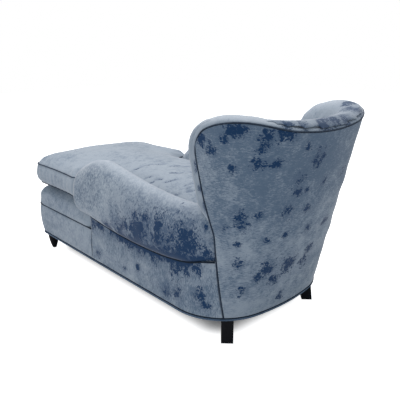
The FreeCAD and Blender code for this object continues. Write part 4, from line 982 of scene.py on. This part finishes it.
# The piping's colours sit far below the velvet's: painted shade of the seam line that the cord lies in, on
# the back, border and cushion.
PIPING = piping_cloth("velvet_piping", (0.012, 0.020, 0.036, 1), (0.050, 0.074, 0.112, 1))
BASE_PIPING = piping_cloth("velvet_base_piping", (0.045, 0.078, 0.130, 1), (0.120, 0.172, 0.245, 1))
SEAM = seam_shadow_finish()
BEECH = timber("beech", (0.60, 0.42, 0.24, 1), (0.42, 0.27, 0.14, 1), (6, 1, 6), 0.55)
EBONISED = timber("ebonised_wood", (0.0045, 0.0055, 0.0085, 1), (0.002, 0.002, 0.0035, 1), (5, 5, 1),
                  0.42, 0.10)
STEEL = plain_steel()
JUTE = woven("jute", (0.42, 0.30, 0.16, 1), (0.20, 0.13, 0.06, 1), 180.0)
DUST_CLOTH = woven("dust_cloth", (0.020, 0.020, 0.022, 1), (0.008, 0.008, 0.009, 1), 300.0)
FOAM = foam()
ZIP = moulded("zip_plastic", (0.11, 0.15, 0.21, 1), (0.16, 0.20, 0.26, 1), 0.45)
GLIDE = moulded("glide_plastic", (0.022, 0.022, 0.024, 1), (0.05, 0.05, 0.05, 1), 0.5)


# Pieces, each riding on its body

SIDES = (("right", 1), ("left", -1))


def dress(obj, material, body, slot, *nodes):
    """Give a piece its material and body, and hide the CAD nodes that it stands for. The slot is not used."""
    obj.data.materials.clear()
    obj.data.materials.append(material)
    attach(obj, body)
    if nodes:
        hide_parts(*nodes)
    return obj


back_panel = dress(crushed(outside_back(), BACK_SPOTS), BACK_VELVET, "base", "velvet", "outside_back")
for side, sign in SIDES:
    panel = crushed(outside_arm(f"outside_arm_cover_{side}", sign), on_side(SIDE_SPOTS, sign), SIDE_FRINGE)
    dress(panel, SIDE_VELVET, "base", "velvet", f"outside_arm_{side}")
for side, sign in SIDES:
    roll = painted_highlight(crushed(arm(f"arm_roll_{side}", sign), on_side(ARM_CRUSH_AND_SHADE_SPOTS, sign), ARM_FRINGE))
    dress(roll, ARM_VELVET, "base", "velvet", f"arm_pad_{side}")
border = dress(crushed(foot_border()), CALM_VELVET, "base", "velvet", "foot_border")

inside = stuffed("inside_back_cover", "inside_back", 0.009, 5, 0.0, 4.0, 0.008, inside_held)
dress(crushed(inside, ROLL_SPOTS + inside_spots()), ROLL_VELVET, "base", "velvet", "inside_back")
deck = stuffed("seat_deck_cover", "seat_deck", 0.009, 4, 0.002, 4.0, 0.006, deck_held)
dress(crushed(eased_deck(deck)), CALM_VELVET, "base", "velvet", "seat_deck")
cushion = stuffed("cushion_cover_soft", "cushion_core", 0.009, 5, 0.006, 4.0, 0.024, cushion_held)
dress(sat_on(fuller_edge(cushion)), CUSHION_VELVET, "cushion", "velvet", "cushion_cover", "cushion_core")

# Piping, and thin dark cords of painted shade in the grooves beside it

BACK_CORD, BORDER_CORD, BASE_CORD, CUSHION_CORD = 0.0021, 0.0021, 0.0048, 0.0027
BACK_GROOVE, BORDER_GROOVE, BASE_GROOVE, CREASE_SHADOW_CORD = 0.0011, 0.0009, 0.0027, 0.0032


def seam(name, path, across, radius, closed=False):
    """Painted shade in a groove, as a thin dark cord along a path."""
    dress(piping(name, path, across, radius, closed, sides=8), SEAM, "base", "piping")


def off_panel(path, out):
    """Direction square to a path and to its outward side, turned up or towards the foot."""
    away = np.cross(unit(np.gradient(path, axis=0)), out)
    return away * np.where(away[:, 2:] - away[:, 1:2] < 0, -1, 1)


edge_low = side_line[:foremost + 1]
edge_x = tub_half_width(edge_low[:, 0], edge_low[:, 1])
rise_points = np.column_stack([edge_x, edge_low])
corner_angle = np.arctan2(np.maximum(leaned_y[:foremost + 1] - side_end, 0), edge_x - corner_x)
rise_normals = np.column_stack([np.cos(corner_angle), np.sin(corner_angle), 0 * corner_angle])
top_along = FULL_REACH * np.sin(np.linspace(np.pi / 2, -np.pi / 2, 400))[1:-1]
top_points, top_normals = on_tub(top_along, panel_span(top_along)[1])
flip = np.array([-1.0, 1.0, 1.0])
back_path = np.vstack([rise_points, top_points, rise_points[::-1] * flip])
back_out = np.vstack([rise_normals, top_normals, rise_normals[::-1] * flip])
dress(piping("back_piping", back_path, back_out, BACK_CORD), PIPING, "base", "piping", "back_welt")
groove = back_path - 0.0027 * unit(off_panel(back_path, back_out)) - 0.0002 * back_out
seam("back_seam_shadow", groove, back_out, BACK_GROOVE)


def back_roll(path, out):
    """The padded roll round the back's edge: an oval section carried along the piping.

    From the piping the section rises to its crest and falls inside the tub; it reaches further in front of
    the wings.
    """
    away = off_panel(path, out)
    rise = (0.016 + 0.034 * np.maximum(-away[:, 1], 0)) * eased(ramp(path[:, 2], 0.47, 0.08))
    rise = rise[:, None]
    turn = np.linspace(0, np.pi, 40)[None, :]
    outer = turn <= np.pi / 2
    depth = np.where(outer, 0.036 * (1 - np.cos(turn)), 0.036 - 0.056 * np.cos(turn))
    lift = np.where(outer, rise * np.sin(turn), rise - (rise + 0.05) * (1 - np.sin(turn)))
    grid = path[:, None] - out[:, None] * (depth[:, :, None] + 0.001) + away[:, None] * lift[:, :, None]
    ends = [np.repeat(row.mean(axis=1, keepdims=True), grid.shape[1], 1) for row in (grid[:1], grid[-1:])]
    grid = np.concatenate([ends[0], grid, ends[1]])
    return outward(surface("back_edge_roll", grid, round_v=True, weld=CORD_WELD))


high_enough = back_path[:, 2] > 0.44
edge_roll = back_roll(back_path[high_enough], back_out[high_enough])
dress(painted_highlight(crushed(edge_roll, ROLL_SPOTS)), ROLL_VELVET, "base", "velvet")

foot_plan, foot_normals = foot_outline(FOOT_FACE)
seam_path = level(foot_plan, BORDER_SEAM)
seam_out = level(foot_normals, 0.0)
cord = piping("border_piping", seam_path - 0.001 * seam_out, seam_out, BORDER_CORD)
dress(cord, PIPING, "base", "piping", "border_welt")
seam("border_seam_shadow", seam_path - 0.0006 * seam_out - np.array([0, 0, 0.0028]), seam_out, BORDER_GROOVE)

tub_along = np.linspace(-1, 1, 300) * (BOW_HALF + CORNER_LENGTH + side_end - FRONT_SEAM)
tub_base, _ = on_tub(tub_along, BASE_HEIGHT + 0 * tub_along)
foot_base, _ = foot_outline(FOOT_FACE + FOOT_TUCK)
base_outline = even_plan(np.vstack([tub_base[:, :2], foot_base]))
base_out = plan_normals(base_outline)
if np.sum(base_out * (base_outline - base_outline.mean(axis=0))) < 0:
    base_out = -base_out
base_sides = level(base_out, 0.0)
rearward = np.maximum(base_out[:, 1:], 0)
path = level(base_outline + (0.0012 * rearward - 0.0020) * base_out, BASE_HEIGHT + 0.003)
cord = piping("base_piping", path, base_sides, BASE_CORD, closed=True)
dress(cord, BASE_PIPING, "base", "piping", "base_welt")
groove = level(base_outline + (0.0026 * rearward - 0.0008) * base_out, BASE_HEIGHT + 0.0098)
seam("base_seam_shadow", groove, base_sides, BASE_GROOVE, closed=True)

for place, height, inset in (("low", CUSHION_LOW, 0.0175), ("high", CUSHION_HIGH, 0.0055)):
    path = level(full_shoulders(cushion_plan - inset * cushion_out, 0.005), height)
    cord = piping(f"cushion_piping_{place}", path, level(cushion_out, 0.0), CUSHION_CORD, closed=True)
    dress(cord, PIPING, "cushion", "piping", f"cushion_welt_{place}")


def arm_edge(y):
    """Height at which an arm's oval meets the side below it, easing over to that side's top edge."""
    _, outer, crest, low, widest, _ = arm_section(y)
    across = np.clip((HALF_WIDTH - 0.003 - crest) / (outer - crest), 0, 1) ** 1.25
    meeting, top = widest - (widest - low) * (1 - across ** 2) ** 0.4, side_top(y) + 0.001
    return (meeting + top - np.sqrt((meeting - top) ** 2 + 0.008 ** 2)) / 2


# A thin dark cord along each crease under an arm: painted shadow of the arm's overhang.
crease_y = np.linspace(FRONT_SEAM + 0.004, SEAM_Y - 0.005, 160)
crease_z = arm_edge(crease_y)
for side, sign in SIDES:
    path = np.column_stack([sign * (tub_half_width(crease_y, crease_z) - 0.0012), crease_y, crease_z])
    seam(f"crease_shadow_{side}", path, np.tile([sign, 0.0, 0.0], (len(path), 1)), CREASE_SHADOW_CORD)

# The CAD's own nodes that stay

KEPT = {
    "beech": BEECH, "ebonised_wood": EBONISED, "steel": STEEL, "jute": JUTE, "dust_cloth": DUST_CLOTH,
    "foam": FOAM, "zip_plastic": ZIP, "glide_plastic": GLIDE, "velvet": CALM_VELVET, "piping": PIPING,
}
SLOT_OF = {row["node"]: row["material_slot"] for row in frame["record"]["subparts"]}
for node, obj in frame["nodes"].items():
    obj.data.materials.clear()
    obj.data.materials.append(KEPT[SLOT_OF[node]])
for node in ("rear_leg_left", "rear_leg_right"):
    ease = frame["nodes"][node].modifiers.new("eased", "BEVEL")
    ease.width = 0.0015
    ease.segments = 2
    ease.limit_method = "ANGLE"

# Floor, light and background

FLOOR_REACH = 9
SHADOW_HALF_WIDTH, SHADOW_MIDDLE, SHADOW_HALF_LENGTH, SHADOW_FADE = 0.15, -0.105, 0.515, 0.019

floor_mesh = bpy.data.meshes.new("floor")
corners = [(FLOOR_REACH * x, FLOOR_REACH * y, 0) for x, y in ((-1, -1), (1, -1), (1, 1), (-1, 1))]
floor_mesh.from_pydata(corners, [], [(0, 1, 2, 3)])
floor = bpy.data.objects.new("floor", floor_mesh)
SCENE.collection.objects.link(floor)
ground = Finish("pale_floor")
ground.paint(Base_Color=(0.93, 0.93, 0.94, 1), Roughness=0.9, Specular_IOR_Level=0.0)
seen = ground.node("ShaderNodeLightPath", {}, output="Is Camera Ray")
floor_x, floor_y = (ground.node("ShaderNodeSeparateXYZ", {}, ground.coords(), output=axis) for axis in (0, 1))
beside = seen.math("MAXIMUM", seen.math("ABSOLUTE", floor_x) - SHADOW_HALF_WIDTH, 0.0)
beyond = seen.math("MAXIMUM", seen.math("ABSOLUTE", floor_y - SHADOW_MIDDLE) - SHADOW_HALF_LENGTH, 0.0)
clear = (beside * beside + beyond * beyond).step(0.0, SHADOW_FADE)
lift = ground.node("ShaderNodeEmission", {}, Color=(1, 1, 1, 1), Strength=seen * (0.06 + clear * 0.92))
ground.surface(ground.node("ShaderNodeAddShader", {}, Socket(ground, ground.shader.outputs[0]), lift))
floor_mesh.materials.append(ground.owner)

studio = Finish("studio", "worlds", "Background")
SCENE.world = studio.owner
studio.paint(Color=(0.87, 0.94, 1.0, 1), Strength=0.52)
white = studio.node("ShaderNodeBackground", {}, Color=(1, 1, 1, 1))
rays = ("Is Camera Ray", "Is Glossy Ray")
straight, glossy = (studio.node("ShaderNodeLightPath", {}, output=ray) for ray in rays)
shown = straight.math("MAXIMUM", straight, glossy)
studio.surface(studio.node("ShaderNodeMixShader", {}, shown, Socket(studio, studio.shader.outputs[0]), white))


def lamp(name, place, target, size, power, colour):
    """A round soft lamp at a place, turned to a target."""
    light = bpy.data.lights.new(name, "AREA")
    light.shape = "DISK"
    light.size = size
    light.energy = power
    light.color = colour
    obj = bpy.data.objects.new(name, light)
    obj.location = place
    obj.rotation_euler = (Vector(target) - Vector(place)).to_track_quat("-Z", "Y").to_euler()
    SCENE.collection.objects.link(obj)


lamp("overhead", (0.1, -0.35, 3.4), (0, 0.0, 0.3), 2.6, 104, (1.0, 0.90, 0.84))
lamp("side", (3.2, -0.8, 1.6), (0.3, 0.0, 0.3), 2.0, 10, (1.0, 0.93, 0.88))
lamp("low_fill", (2.2, 2.6, 0.4), (0.1, 0.5, 0.2), 1.8, 8, (0.90, 0.95, 1.0))
